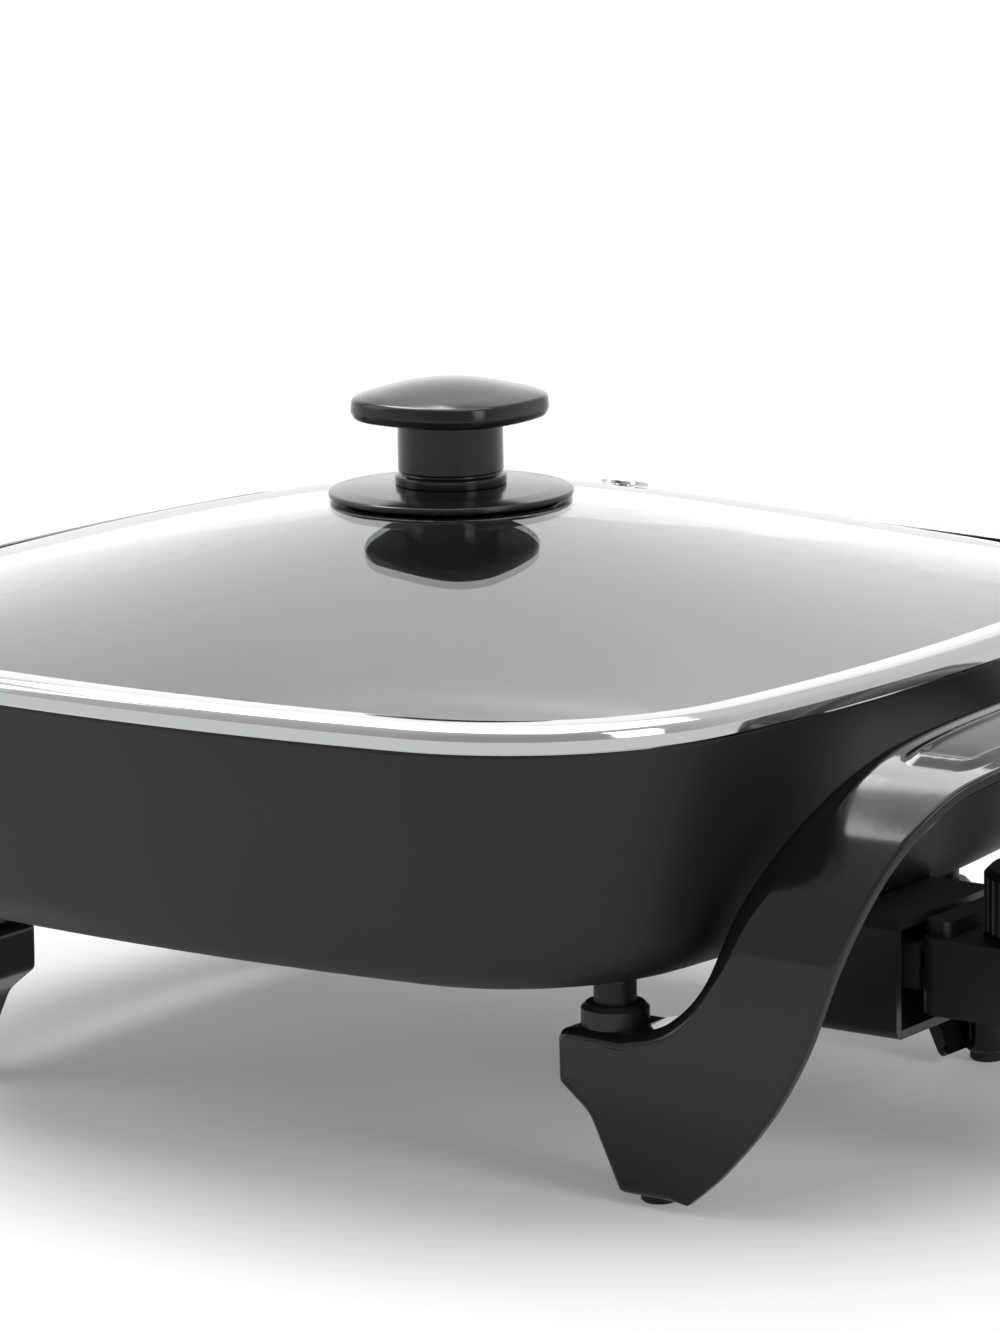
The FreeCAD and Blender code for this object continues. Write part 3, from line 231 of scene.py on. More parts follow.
def smooth_curve(points, count, span_steps=24):
    """A Catmull-Rom curve through points, resampled evenly along its length."""
    points = np.asarray(points, float)
    padded = np.vstack([2 * points[0] - points[1], points, 2 * points[-1] - points[-2]])
    t = np.linspace(0, 1, span_steps, endpoint=False)[:, None]
    parts = []
    for a, b, c, d in zip(padded, padded[1:], padded[2:], padded[3:]):
        parts.append(0.5 * (2 * b + (c - a) * t + (2 * a - 5 * b + 4 * c - d) * t ** 2
                            + (3 * b - a - 3 * c + d) * t ** 3))
    return resampled(np.vstack([*parts, points[-1:]]), count)


def resampled(path, count):
    """A polyline resampled at even steps of its length."""
    run = np.concatenate([[0], np.cumsum(np.hypot(*np.diff(path, axis=0).T))])
    even = np.linspace(0, run[-1], count)
    return np.stack([np.interp(even, run, path[:, 0]), np.interp(even, run, path[:, 1])], -1)


# Materials

# Noise seldom leaves this range, so it is what a map range spreads out.
CLOUD_LOW, CLOUD_HIGH = 0.3, 0.7
CLOUD_MM, GLASS_WAVE_MM = 45.0, 90.0


def new_material(name):
    """A node material and its shader, linked to the output."""
    material = bpy.data.materials.new(name)
    material.use_nodes = True
    return material, material.node_tree.nodes["Principled BSDF"]


def add_node(owner, kind, settings=None, inputs=None, links=None):
    """One node of a material or world, with its settings, socket values and links."""
    node = owner.node_tree.nodes.new(kind)
    for key, value in (settings or {}).items():
        setattr(node, key, value)
    for key, value in (inputs or {}).items():
        node.inputs[key].default_value = value
    for key, source in (links or {}).items():
        link(owner, source, node.inputs[key])
    return node


def link(owner, source, target):
    """Links an output of a material's or world's node to an input."""
    owner.node_tree.links.new(source, target)


def set_inputs(shader, **values):
    """Sets a shader's sockets by name, with underscores for spaces."""
    for key, value in values.items():
        shader.inputs[key.replace("_", " ")].default_value = value


def mottled(material, shader, tone, depth, grain_mm, bump_mm, low_rough, high_rough):
    """Varies colour and roughness softly over a few centimetres, with a fine bump of one grain."""
    place = add_node(material, "ShaderNodeTexCoord").outputs["Object"]
    cloud = add_node(material, "ShaderNodeTexNoise", None,
                     {"Scale": 1 / (CLOUD_MM * MM), "Detail": 3.0, "Roughness": 0.55},
                     {"Vector": place})
    spread = {"From Min": CLOUD_LOW, "From Max": CLOUD_HIGH}
    tint = add_node(material, "ShaderNodeMapRange", None,
                    {**spread, "To Min": 1 - depth, "To Max": 1 + depth},
                    {"Value": cloud.outputs["Fac"]})
    base = add_node(material, "ShaderNodeVectorMath", {"operation": "SCALE"}, {0: tone[:3]},
                    {"Scale": tint.outputs["Result"]})
    link(material, base.outputs["Vector"], shader.inputs["Base Color"])
    rough = add_node(material, "ShaderNodeMapRange", None,
                     {**spread, "To Min": low_rough, "To Max": high_rough},
                     {"Value": cloud.outputs["Fac"]})
    link(material, rough.outputs["Result"], shader.inputs["Roughness"])
    grain = add_node(material, "ShaderNodeTexNoise", None,
                     {"Scale": 1 / (grain_mm * MM), "Detail": 2.0}, {"Vector": place})
    bump = add_node(material, "ShaderNodeBump", None,
                    {"Strength": 1.0, "Distance": bump_mm * MM}, {"Height": grain.outputs["Fac"]})
    link(material, bump.outputs["Normal"], shader.inputs["Normal"])


def coating_material():
    """Sprayed and baked non-stick on cast aluminium: dark grey, satin, with a faint orange peel."""
    material, shader = new_material("nonstick_coating")
    mottled(material, shader, colours().coating, depth=0.05, grain_mm=1.6, bump_mm=0.012,
            low_rough=0.42, high_rough=0.52)
    set_inputs(shader, Specular_IOR_Level=0.33, IOR=1.5)
    return material


def phenolic_material(name, tone, low, high):
    """Phenolic moulding: near black, glossy from a polished tool or satin from a blasted one,
    with a slow waviness."""
    material, shader = new_material(name)
    mottled(material, shader, tone, depth=0.04, grain_mm=7.0, bump_mm=0.02, low_rough=low,
            high_rough=high)
    set_inputs(shader, Specular_IOR_Level=0.36, IOR=1.5)
    return material


def control_material(name):
    """Moulded plastic with a fine spark texture: dark, faintly green grey, satin."""
    material, shader = new_material(name)
    mottled(material, shader, colours().control, depth=0.05, grain_mm=0.8, bump_mm=0.015,
            low_rough=0.38, high_rough=0.48)
    set_inputs(shader, Specular_IOR_Level=0.45, IOR=1.5)
    return material


def steel_material(name, tone, low, high):
    """Steel strip, rolled and finished: bright, with faint streaks about 21 mm long and 1.4 mm
    apart, from noise of 12 to the metre that is squeezed 4 times along and 60 times upwards."""
    material, shader = new_material(name)
    place = add_node(material, "ShaderNodeTexCoord").outputs["Object"]
    squeezed = add_node(material, "ShaderNodeMapping", None, {"Scale": (4.0, 4.0, 60.0)},
                        {"Vector": place})
    streaks = add_node(material, "ShaderNodeTexNoise", None, {"Scale": 12.0, "Detail": 4.0},
                       {"Vector": squeezed.outputs["Vector"]})
    rough = add_node(material, "ShaderNodeMapRange", None,
                     {"From Min": 0.35, "From Max": 0.65, "To Min": low, "To Max": high},
                     {"Value": streaks.outputs["Fac"]})
    link(material, rough.outputs["Result"], shader.inputs["Roughness"])
    set_inputs(shader, Base_Color=tone, Metallic=1.0)
    return material


def glass_material():
    """Tempered soda-lime glass: clear, hardly tinted, mirror smooth, index 1.52, with the long
    shallow waves that tempering leaves."""
    material, shader = new_material("tempered_glass")
    set_inputs(shader, Base_Color=tuple(colours().glass), Roughness=0.0, IOR=1.52,
               Transmission_Weight=1.0)
    place = add_node(material, "ShaderNodeTexCoord").outputs["Object"]
    wave = add_node(material, "ShaderNodeTexNoise", None,
                    {"Scale": 1 / (GLASS_WAVE_MM * MM), "Detail": 1.0}, {"Vector": place})
    bump = add_node(material, "ShaderNodeBump", None, {"Strength": 1.0, "Distance": 0.05 * MM},
                    {"Height": wave.outputs["Fac"]})
    link(material, bump.outputs["Normal"], shader.inputs["Normal"])
    return material


def plain_material(name, code, low, high, metal):
    """A small part's finish: one colour, softly mottled, with a fine grain."""
    material, shader = new_material(name)
    mottled(material, shader, linear(code), depth=0.06, grain_mm=1.0, bump_mm=0.01,
            low_rough=low, high_rough=high)
    set_inputs(shader, Metallic=metal)
    return material


def repaint(material, *nodes):
    """Gives CAD nodes whose shape is right a better finish."""
    for name in nodes:
        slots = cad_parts[name].data.materials
        slots.clear()
        slots.append(material)


# The lid

# Half width, corner radius and bow radius of the glass's edge, and the two radii of the rim band
EDGE_HALF, EDGE_CORNER, EDGE_BOW = 148.4, 67.4, 558.4
BAND_CORNER, BAND_BOW = 69.0, 560.0
GLASS_EDGE_Z, GLASS_RISE, FLAT_SHARE = 123.0, 29.2, 0.2
HOLE_RADIUS, GLASS_CHAMFER = 4.0, 0.6
LID_ARC_STEPS = 48


def glass_height(share):
    """Height of the glass: the edge height plus the rise times one less the share to the power
    one and a half, flat inside a fifth of the way."""
    share = np.maximum(share, FLAT_SHARE)
    return GLASS_EDGE_Z + GLASS_RISE * (1 - share ** 1.5)


def glass_rings(share, drop):
    """Rings of the glass at shares of its half width, lowered by a drop. A ring's radii for corner
    and bow, as ratios of its half width, are the edge's at a share of one and nearly a circle's
    at the middle, mixed by the share to the power 2.2."""
    shape = share ** 2.2
    half = GLASS_HALF * share
    corner = half * (EDGE_CORNER / EDGE_HALF * shape + 0.97 * (1 - shape))
    bow = half / (EDGE_HALF / EDGE_BOW * shape + 0.99 * (1 - shape))
    return stack(half, corner, bow, glass_height(share) - drop, LID_ARC_STEPS)


def make_glass():
    """The glass dome: rings from the knob's hole out over the top, down the edge, and back under
    it one wall lower, closed into a loop."""
    hole = HOLE_RADIUS / GLASS_HALF
    share = np.concatenate([np.linspace(hole, 0.19, 6), np.linspace(FLAT_SHARE, 1.0, 60)])
    wall = sizes("glass_wall")
    outer = glass_rings(share, 0.0)
    edge = glass_rings(np.ones(1), wall - GLASS_CHAMFER)
    inner = glass_rings(share[::-1] * (1 - GLASS_CHAMFER / GLASS_HALF), wall)
    points = np.concatenate([outer, edge, inner])
    faces = [face[::-1] for face in grid_faces(*points.shape[:2], loop_rows=True)]
    add_piece("glass_dome_clear", points, faces, glass_material(), "lid", "glass_dome")


def make_band():
    """The rim band: the section of a folded strip, from its skirt round the outside and over the
    bead to the glass and back, carried round the lid. At each inset the lid's outline shrinks by
    that inset in half width, corner radius and bow radius."""
    seat, bead = RIM_Z, 125.0
    # Each corner is its inset, height and rounding.
    corners = [(10.3, seat + 0.8, 0.2), (10.3, 114.0, 0.2), (9.5, 114.0, 0.2), (9.5, seat, 0.4),
               (0.35, seat, 0.0), (0.0, seat + 0.5, 0.5), (0.0, seat + 3.2, 2.2),
               (0.5, bead - 1.5, 2.5), (2.6, bead, 2.4), (6.9, 125.45, 0.5), (7.0, 124.8, 0.1),
               (3.2, bead - 0.8, 2.0), (1.5, bead - 1.9, 2.0), (0.8, seat + 2.8, 1.5),
               (0.8, seat + 0.8, 0.2), (10.3, seat + 0.8, 0.2)]
    inset, height = rounded_path(corners, 6)[:-1].T
    points = stack(BAND_HALF - inset, BAND_CORNER - inset, BAND_BOW - inset, height, LID_ARC_STEPS)
    faces = grid_faces(*points.shape[:2], loop_rows=True)
    steel = steel_material("polished_stainless_band", tuple(colours().steel), 0.05, 0.12)
    add_piece("rim_band_rolled", points, faces, steel, "lid", "rim_band")


def cap_rings(half_side=23.4, dome_half=20.0):
    """Rings of the knob's cap: bowed squares up a low side with rounded edges, then a dome that
    falls from its top with the square of the distance. Inside the dome's edge the height turns
    from the ring's own share to the true distance from the axis, so the top is round."""
    side_top, edge_rise = CAP_Z + 5.3, 1.15
    corner_ratio, bow_ratio = 0.705, 2.137
    side = rounded_path([(13.6, CAP_Z, 0), (half_side - 0.8, CAP_Z, 1.4),
                         (half_side, CAP_Z + 2.0, 2.0), (half_side - 0.3, side_top, 1.3),
                         (dome_half, side_top + edge_rise, 0)], 8)
    share = np.linspace(dome_half, 0.4, 18)[1:]
    rise = CAP_TOP - side_top - edge_rise
    half = np.concatenate([side[:, 0], share])
    height = np.concatenate([side[:, 1], CAP_TOP - rise * (share / dome_half) ** 2])
    rings = stack(half, half * corner_ratio, half * bow_ratio, height, 24)
    own = np.clip(half / dome_half, 0, 1)[:, None] ** 4
    distance = np.hypot(rings[..., 0], rings[..., 1])
    ball = CAP_TOP - rise * distance ** 2 / dome_half ** 2
    inside = (np.arange(len(half)) >= len(side))[:, None]
    rings[..., 2] = np.where(inside, rings[..., 2] * own + ball * (1 - own), rings[..., 2])
    return rings


def make_knob():
    """The knob: a flange and a stem with a ring, turned from profiles of radius, height and
    rounding, and a square cap."""
    gloss = phenolic_material("knob_phenolic_gloss", colours().phenolic, 0.12, 0.2)
    base, top = KNOB_BASE, CAP_Z + 1.0
    ring = base + 3.0
    flange = turned(rounded_path([
        (2.6, base, 0), (31.3, base, 0.5), (31.5, base + 1.5, 1.3), (26.0, base + 2.3, 6),
        (20.0, base + 2.75, 6), (15.4, ring, 0.8), (2.6, ring, 0)]))
    stem = turned(rounded_path([
        (2.5, ring, 0), (14.2, ring, 0.3), (14.3, ring + 2.4, 0.5), (13.3, ring + 2.9, 0.3),
        (13.1, ring + 3.3, 0.2), (13.5, ring + 3.7, 0.4), (13.4, top, 0), (2.5, top, 0)]))
    for name, node, (points, faces) in (
            ("knob_flange_moulded", "knob_flange",
             (flange, grid_faces(*flange.shape[:2], loop_rows=True))),
            ("knob_stem_moulded", "knob_stem", capped(stem)),
            ("knob_cap_moulded", "knob_cap", capped(cap_rings()))):
        add_piece(name, points, faces, gloss, "lid", node)


# The handles

# The arch from the side, in millimetres: upright legs, a shoulder arc, and a long crown arc
ARCH_HALF, SHOULDER_RADIUS, SPRING_Z, CROWN_RISE = 85.0, 54.0, 58.0, 3.0
SHOULDER_Y = ARCH_HALF - SHOULDER_RADIUS
CROWN_RADIUS = (SHOULDER_Y ** 2 + CROWN_RISE ** 2) / (2 * CROWN_RISE) + SHOULDER_RADIUS
CROWN_Z = SPRING_Z + SHOULDER_RADIUS + CROWN_RISE - CROWN_RADIUS
CROWN_LEAN = math.atan2(SHOULDER_Y, SPRING_Z - CROWN_Z)
SHOULDER_RUN = SHOULDER_RADIUS * (math.pi / 2 - CROWN_LEAN)
ARCH_MIDDLE = SPRING_Z + SHOULDER_RUN + CROWN_RADIUS * CROWN_LEAN
GRIP_PAN_X, GRIP_OUT_X = 159.3, 202.6

# How far the outer edge has gone, as a share, when the pan side has passed its foot and platform
FOOT_SHARE, FOOT_TRAVEL = 0.31, 0.215

# Rows from the floor to the grip's middle, and lines across each stretch of the section
HANDLE_ROWS, SHOULDER_STEPS, FACE_STEPS, EDGE_STEPS = 260, 12, 44, 5
WALL_SHARES = (1.0, 0.7, 0.4)
LEG_SHOULDER, LEG_DEPTH, GRIP_DEPTH, FOOT_EDGE = 2.6, 21.0, 15.0, 18.5

PANEL_HALF_LENGTH, PANEL_CORNER, PANEL_MARGIN, PANEL_MIDDLE = 52.0, 5.0, 4.2, 0.47
PANEL_STEP, PANEL_SHARE = 2.2, 0.7
BEAD_INSET, BEAD_WIDTH, BEAD_SHARE = 2.6, 1.1, 0.6

# Across, along, radius, lowest and highest point of the foot's boss and the platform's post
POSTS = ((113.1, 76.8, 5.5, 2.7, 12.0), (99.7, 75.0, 7.5, 30.0, 38.5))
POST_CHAMFER = 0.4

RIB_PROFILE = np.array([(163.0, 102.0), (164.0, 111.9), (187.0, 111.9), (186.0, 106.0),
                        (176.0, 101.0)])
RIB_PLACES, RIB_HALF, CROWN_FALL = (-35.7, 0.0, 35.7), 1.2, 0.0013


def arch(across, run, depth):
    """A point of the handle from its place across, its run along the arch from the floor, and its
    depth under the outer face. The run goes up a leg, round a shoulder arc and over the crown."""
    side = np.where(run <= ARCH_MIDDLE, -1.0, 1.0)
    run = np.where(run <= ARCH_MIDDLE, run, 2 * ARCH_MIDDLE - run)
    turn = np.clip((run - SPRING_Z) / SHOULDER_RADIUS, 0, math.pi / 2 - CROWN_LEAN)
    over = np.clip(ARCH_MIDDLE - run, 0, CROWN_RADIUS * CROWN_LEAN) / CROWN_RADIUS
    on_leg, on_crown = run < SPRING_Z, run > SPRING_Z + SHOULDER_RUN
    y = np.where(on_leg, ARCH_HALF - depth, SHOULDER_Y + (SHOULDER_RADIUS - depth) * np.cos(turn))
    z = np.where(on_leg, run, SPRING_Z + (SHOULDER_RADIUS - depth) * np.sin(turn))
    y = np.where(on_crown, (CROWN_RADIUS - depth) * np.sin(over), y)
    z = np.where(on_crown, CROWN_Z + (CROWN_RADIUS - depth) * np.cos(over), z)
    return np.stack([across + 0 * y, side * y, z], -1)


def handle_edges(count):
    """The handle's two long edges, laid flat as (across, run) from the floor up to the middle of
    the grip. The pan side is a path with rounded corners round the foot and the platform, then a
    smooth curve. The outer side is a smooth curve, whose points are spaced to stay level with the
    pan side's: it moves on slowly while that one goes round the foot and the platform."""
    low_part = rounded_path([(126.2, 2.6, 0), (106.4, 2.6, 2.0), (97.8, 20.8, 10.0),
                             (89.2, 27.6, 2.0), (89.0, 41.2, 3.2), (107.0, 41.2, 0)], 8)
    high_part = smooth_curve([(107.0, 41.2), (119.5, 45.6), (130.3, 57.5), (137.6, 78.0),
                              (143.2, 93.0), (147.6, 106.5), (151.8, 121.0), (155.4, 140.0),
                              (158.2, 157.0), (GRIP_PAN_X, ARCH_MIDDLE)], 120)
    high_part = np.clip(high_part, None, (GRIP_PAN_X, ARCH_MIDDLE))
    pan_side = resampled(np.vstack([low_part[:-1], high_part]), count)
    out_side = smooth_curve([(126.4, 2.6), (136.2, 11.3), (149.1, 26.4), (158.7, 42.5),
                             (165.0, 58.0), (171.0, 75.0), (177.2, 94.0), (184.4, 113.0),
                             (191.4, 126.0), (198.5, 145.0), (GRIP_OUT_X, ARCH_MIDDLE)], 300)
    out_side = np.clip(out_side, None, (GRIP_OUT_X, ARCH_MIDDLE))
    run = np.linspace(0, 1, count)
    later = FOOT_TRAVEL + (1 - FOOT_TRAVEL) * (run - FOOT_SHARE) / (1 - FOOT_SHARE)
    level = np.where(run < FOOT_SHARE, FOOT_TRAVEL * run / FOOT_SHARE, later)
    place = np.linspace(0, 1, len(out_side))
    return pan_side, np.stack([np.interp(level, place, side) for side in out_side.T], -1)


def ramp(value, start, width):
    """Rises evenly from 0 at the start to 1 a width later, and is level outside."""
    return np.clip((value - start) / width, 0, 1)


def inward(edge, towards):
    """Unit normals of a flat edge, pointing to one side of it."""
    step = np.gradient(edge, axis=0)
    step /= np.maximum(np.hypot(*step.T), 1e-9)[:, None]
    return np.stack([step[:, 1], -step[:, 0]], -1) * towards


def grip_panel(place, run, face):
    """How far the grip panel stands up at a place across the face, as a share of its height. A
    rounded rectangle's signed distance over the crown gives a soft step up, and a bell curve of
    that distance gives a fine bead that runs along its border."""
    half_width = face * 0.5 - PANEL_MARGIN
    out_x = np.abs(place - face * PANEL_MIDDLE) - (half_width - PANEL_CORNER)
    out_y = np.abs(ARCH_MIDDLE - run) - (PANEL_HALF_LENGTH - PANEL_CORNER)
    distance = np.hypot(np.maximum(out_x, 0), np.maximum(out_y, 0)) + np.minimum(
        np.maximum(out_x, out_y), 0) - PANEL_CORNER
    step = np.clip(0.5 - distance / PANEL_STEP, 0, 1)
    bead = np.exp(-((distance + BEAD_INSET) / BEAD_WIDTH) ** 2)
    return (step * step * (3 - 2 * step)) * PANEL_SHARE + bead * BEAD_SHARE


def handle_surface():
    """The handle's whole moulded skin: a closed section carried from foot to foot. The section
    rises up the deep pan-side wall, rolls over a shoulder, crosses the face and its grip panel,
    rounds the thin outer edge, and comes back along the open underside."""
    pan_side, out_side = handle_edges(HANDLE_ROWS)
    pan_in, out_in = inward(pan_side, 1.0), inward(out_side, -1.0)
    run = np.linspace(0, 1, HANDLE_ROWS)
    wall = sizes("handle_wall")
    room = np.hypot(*(out_side - pan_side).T)
    # The shoulder grows up the leg, and the pan-side wall gets less deep towards the grip.
    growth = (sizes("shoulder") - LEG_SHOULDER) * ramp(run, 0.3, 0.4)
    shoulder = np.minimum(LEG_SHOULDER + growth, room * 0.3)
    drop = shoulder * 0.8
    edge = np.minimum(sizes("edge_round"), room * 0.1)
    depth = LEG_DEPTH - (LEG_DEPTH - GRIP_DEPTH) * ramp(run, 0.55, 0.3)
    # The foot's lower edge is as thin as the skin: only the pan-side wall is deep.
    steps = np.hypot(*np.diff(pan_side, axis=0).T)
    travel = np.concatenate([[0], np.cumsum(steps)])
    depth = np.where(travel < FOOT_EDGE, wall + 0.3, depth)
    thick = np.minimum(wall, room * 0.2)
    columns = []

    def add(flat, deep):
        """Adds one line of the skin at flat places and a depth under the outer face."""
        columns.append(arch(flat[:, 0], flat[:, 1], deep + 0 * run))

    def from_pan(distance):
        """The pan side moved in by a distance."""
        return pan_side + pan_in * np.broadcast_to(distance, run.shape)[:, None]

    def from_out(distance):
        """The outer side moved in by a distance."""
        return out_side + out_in * np.broadcast_to(distance, run.shape)[:, None]

    for share in WALL_SHARES:
        add(from_pan(0.0), drop + (depth - drop) * share)
    for turn in np.linspace(0, math.pi / 2, SHOULDER_STEPS):
        add(from_pan(shoulder * (1 - math.cos(turn))), drop * (1 - math.sin(turn)))
    face_start, face_end = from_pan(shoulder), from_out(edge)
    face = np.hypot(*(face_end - face_start).T)
    for share in np.linspace(0, 1, FACE_STEPS)[1:]:
        flat = face_start + (face_end - face_start) * share
        panel = grip_panel(share * face, flat[:, 1], face)
        add(flat, -sizes("panel_height") * panel)
    for turn in np.linspace(0, math.pi / 2, EDGE_STEPS)[1:]:
        add(from_out(edge * (1 - math.sin(turn))), edge * (1 - math.cos(turn)))
    add(from_out(0.0), wall - 0.5)
    add(from_out(0.4), wall)
    for share in (0.25, 0.5, 0.75):
        add(from_out(0.4) + (from_pan(thick) - from_out(0.4)) * share, wall)
    for share in (0.0, 0.6, 1.0):
        add(from_pan(thick), wall + (depth - wall) * share)
    half = np.stack(columns, 1)
    other = half[::-1][1:] * np.array([1.0, -1.0, 1.0])
    return np.concatenate([half, other])


def end_faces(rows, columns):
    """Faces of the handle's two L-shaped ends: quads between the outer and the inner half of the
    section down the deep wall, and one face across the skin."""
    faces, wall = [], len(WALL_SHARES)
    for base, order in ((0, -1), ((rows - 1) * columns, 1)):
        strip = [[base + k, base + k + 1, base + columns - 2 - k, base + columns - 1 - k]
                 for k in range(wall)]
        strip.append([base + k for k in range(wall, columns - wall)])
        faces += [face[::order] for face in strip]
    return faces


def posts():
    """Points and faces of the upright posts that the screws go into: turned, closed at the ends."""
    return [capped(turned([(radius * 0.5, low), (radius - POST_CHAMFER, low),
                           (radius, low + POST_CHAMFER), (radius, high)], (x, side * y), 40))
            for x, y, radius, low, high in POSTS for side in (-1, 1)]


def ribs():
    """Points and faces of thin plates under the crown that tie the face to the pan-side wall: a
    flat profile carried sideways by the plate's thickness, lower away from the crown's middle."""
    across, height = RIB_PROFILE.T
    count = len(across)
    near = np.arange(count)
    after = (near + 1) % count
    faces = np.stack([near, after, count + after, count + near], -1).tolist()
    faces += [near[::-1].tolist(), (count + near).tolist()]
    return [(np.stack([np.stack([across, 0 * height + y + shift, height - CROWN_FALL * y * y], -1)
                       for shift in (-RIB_HALF, RIB_HALF)]), faces) for y in RIB_PLACES]


def make_handles():
    """The right handle, from its skin, ends, posts and ribs, and the left one as its mirror image
    with its faces turned round."""
    gloss = phenolic_material("handle_phenolic_gloss", colours().phenolic, 0.07, 0.12)
    surface = handle_surface()
    rows, columns = surface.shape[:2]
    skin = grid_faces(rows, columns) + end_faces(rows, columns)
    points, faces = joined([(surface, skin), *posts(), *ribs()])
    for name, side, order, node in (("right_handle_moulded", 1.0, 1, "right_handle"),
                                    ("left_handle_moulded", -1.0, -1, "left_handle")):
        add_piece(name, points * np.array([side, 1.0, 1.0]), [face[::order] for face in faces],
                  gloss, "base", node)


# Stage, light and camera

CAMERA_AZIMUTH, CAMERA_ELEVATION, CAMERA_DISTANCE = 0.62321, 0.19421, 1520.9
CAMERA_YAW, CAMERA_PITCH, CAMERA_ROLL = -0.00789, 0.00126, -0.01473
CAMERA_AIM_Z, CAMERA_LENS = 107.0, 160.2
# Painted floor glow: where it starts to grow and where it is full white, in millimetres from the
# object, and the faint share of it that lifts the floor and its shadow near the object
FLOOR_SHADOW_MM, FLOOR_WHITE_MM, FLOOR_NEAR_GLOW = 120.0, 300.0, 0.17
BRIGHT_SIDE, DIM_SIDE_STRENGTH, MATT_STRENGTH = (-0.57, 0.80, 0.19), 0.5, 0.4


def look_back(azimuth, elevation):
    """Unit vector from the object back towards a viewer."""
    return Vector((math.sin(azimuth) * math.cos(elevation),
                   -math.cos(azimuth) * math.cos(elevation), math.sin(elevation)))


def make_camera():
    """The camera where the photograph was taken from, worked out from the object's outlines."""
    back = look_back(CAMERA_AZIMUTH, CAMERA_ELEVATION)
    place = Vector((0, 0, CAMERA_AIM_Z)) + back * CAMERA_DISTANCE
    azimuth = CAMERA_AZIMUTH + CAMERA_YAW
    back = look_back(azimuth, CAMERA_ELEVATION + CAMERA_PITCH)
    right = Vector((math.cos(azimuth), math.sin(azimuth), 0))
    up = back.cross(right)
    turned_right = right * math.cos(CAMERA_ROLL) + up * math.sin(CAMERA_ROLL)
    turned_up = up * math.cos(CAMERA_ROLL) - right * math.sin(CAMERA_ROLL)
    data = bpy.data.cameras.new("photo_camera")
    data.lens, data.sensor_width = CAMERA_LENS, 36.0
    data.clip_end = 60.0
    camera = bpy.data.objects.new("photo_camera", data)
    matrix = Matrix((turned_right, turned_up, back)).transposed().to_4x4()
    matrix.translation = (place + Vector(PAN_CENTRE)) * MM
    camera.matrix_world = matrix
    bpy.context.scene.collection.objects.link(camera)
    bpy.context.scene.camera = camera


def floor_material():
    """Pale matt floor that keeps the object's shadow. To camera, mirror and glass rays it also
    glows with a painted light: faintly near the object, over its shadow, and growing out to plain
    white away from it.
    """
    material, shader = new_material("pale_floor")
    set_inputs(shader, Base_Color=tuple(colours().floor), Roughness=0.9, Specular_IOR_Level=0.1)
    path = add_node(material, "ShaderNodeLightPath")
    seen = path.outputs["Is Camera Ray"]
    for name in ("Is Glossy Ray", "Is Transmission Ray"):
        seen = add_node(material, "ShaderNodeMath", {"operation": "MAXIMUM"}, None,
                        {0: seen, 1: path.outputs[name]}).outputs["Value"]
    place = add_node(material, "ShaderNodeTexCoord").outputs["Object"]
    reach = add_node(material, "ShaderNodeVectorMath", {"operation": "LENGTH"}, None, {0: place})
    far = add_node(material, "ShaderNodeMapRange", {"interpolation_type": "SMOOTHSTEP"},
                   {"From Min": FLOOR_SHADOW_MM * MM, "From Max": FLOOR_WHITE_MM * MM,
                    "To Min": FLOOR_NEAR_GLOW}, {"Value": reach.outputs["Value"]})
    share = add_node(material, "ShaderNodeMath", {"operation": "MULTIPLY"}, None,
                     {0: seen, 1: far.outputs["Result"]})
    # Painted glow: a white emission, mixed in by the share above
    white = add_node(material, "ShaderNodeEmission", None, {"Strength": 1.0})
    mix = add_node(material, "ShaderNodeMixShader", None, None,
                   {0: share.outputs["Value"], 1: shader.outputs["BSDF"], 2: white.outputs[0]})
    link(material, mix.outputs[0], material.node_tree.nodes["Material Output"].inputs["Surface"])
    return material


def make_floor():
    """A plain floor, 24 m square."""
    mesh = bpy.data.meshes.new("floor")
    reach = 12.0
    mesh.from_pydata([(-reach, -reach, 0), (reach, -reach, 0), (reach, reach, 0),
                      (-reach, reach, 0)], [], [(0, 1, 2, 3)])
    floor = bpy.data.objects.new("floor", mesh)
    bpy.context.scene.collection.objects.link(floor)
    mesh.materials.append(floor_material())


def add_lamp(name, place, aim, size, power):
    """A rectangular soft box at a place, turned towards a point, in metres and watts."""
    data = bpy.data.lights.new(name, "AREA")
    data.shape = "RECTANGLE"
    data.size, data.size_y = size
    data.energy = power
    lamp = bpy.data.objects.new(name, data)
    lamp.location = place
    lamp.rotation_euler = (Vector(aim) - Vector(place)).to_track_quat("-Z", "Y").to_euler()
    bpy.context.scene.collection.objects.link(lamp)


def make_lights():
    """Soft boxes above, behind and beside, and two strips for the handle's bright bands."""
    add_lamp("top_box", (0.0, 0.1, 1.7), (0, 0, 0.1), (1.6, 1.6), 17.0)
    add_lamp("back_box", (-1.7, 2.1, 1.3), (0, 0, 0.1), (4.2, 2.4), 17.0)
    add_lamp("low_strip", (-0.84, -0.10, 1.38), (0.18, -0.06, 0.1), (1.0, 0.34), 9.0)
    add_lamp("high_strip", (-0.80, 0.33, 1.42), (0.18, -0.04, 0.1), (1.0, 0.36), 9.0)
    add_lamp("left_box", (-1.6, -1.0, 0.9), (0, 0, 0.1), (0.9, 1.4), 6.0)
    add_lamp("right_box", (1.9, -0.4, 0.9), (0.1, 0, 0.1), (0.7, 1.4), 11.0)


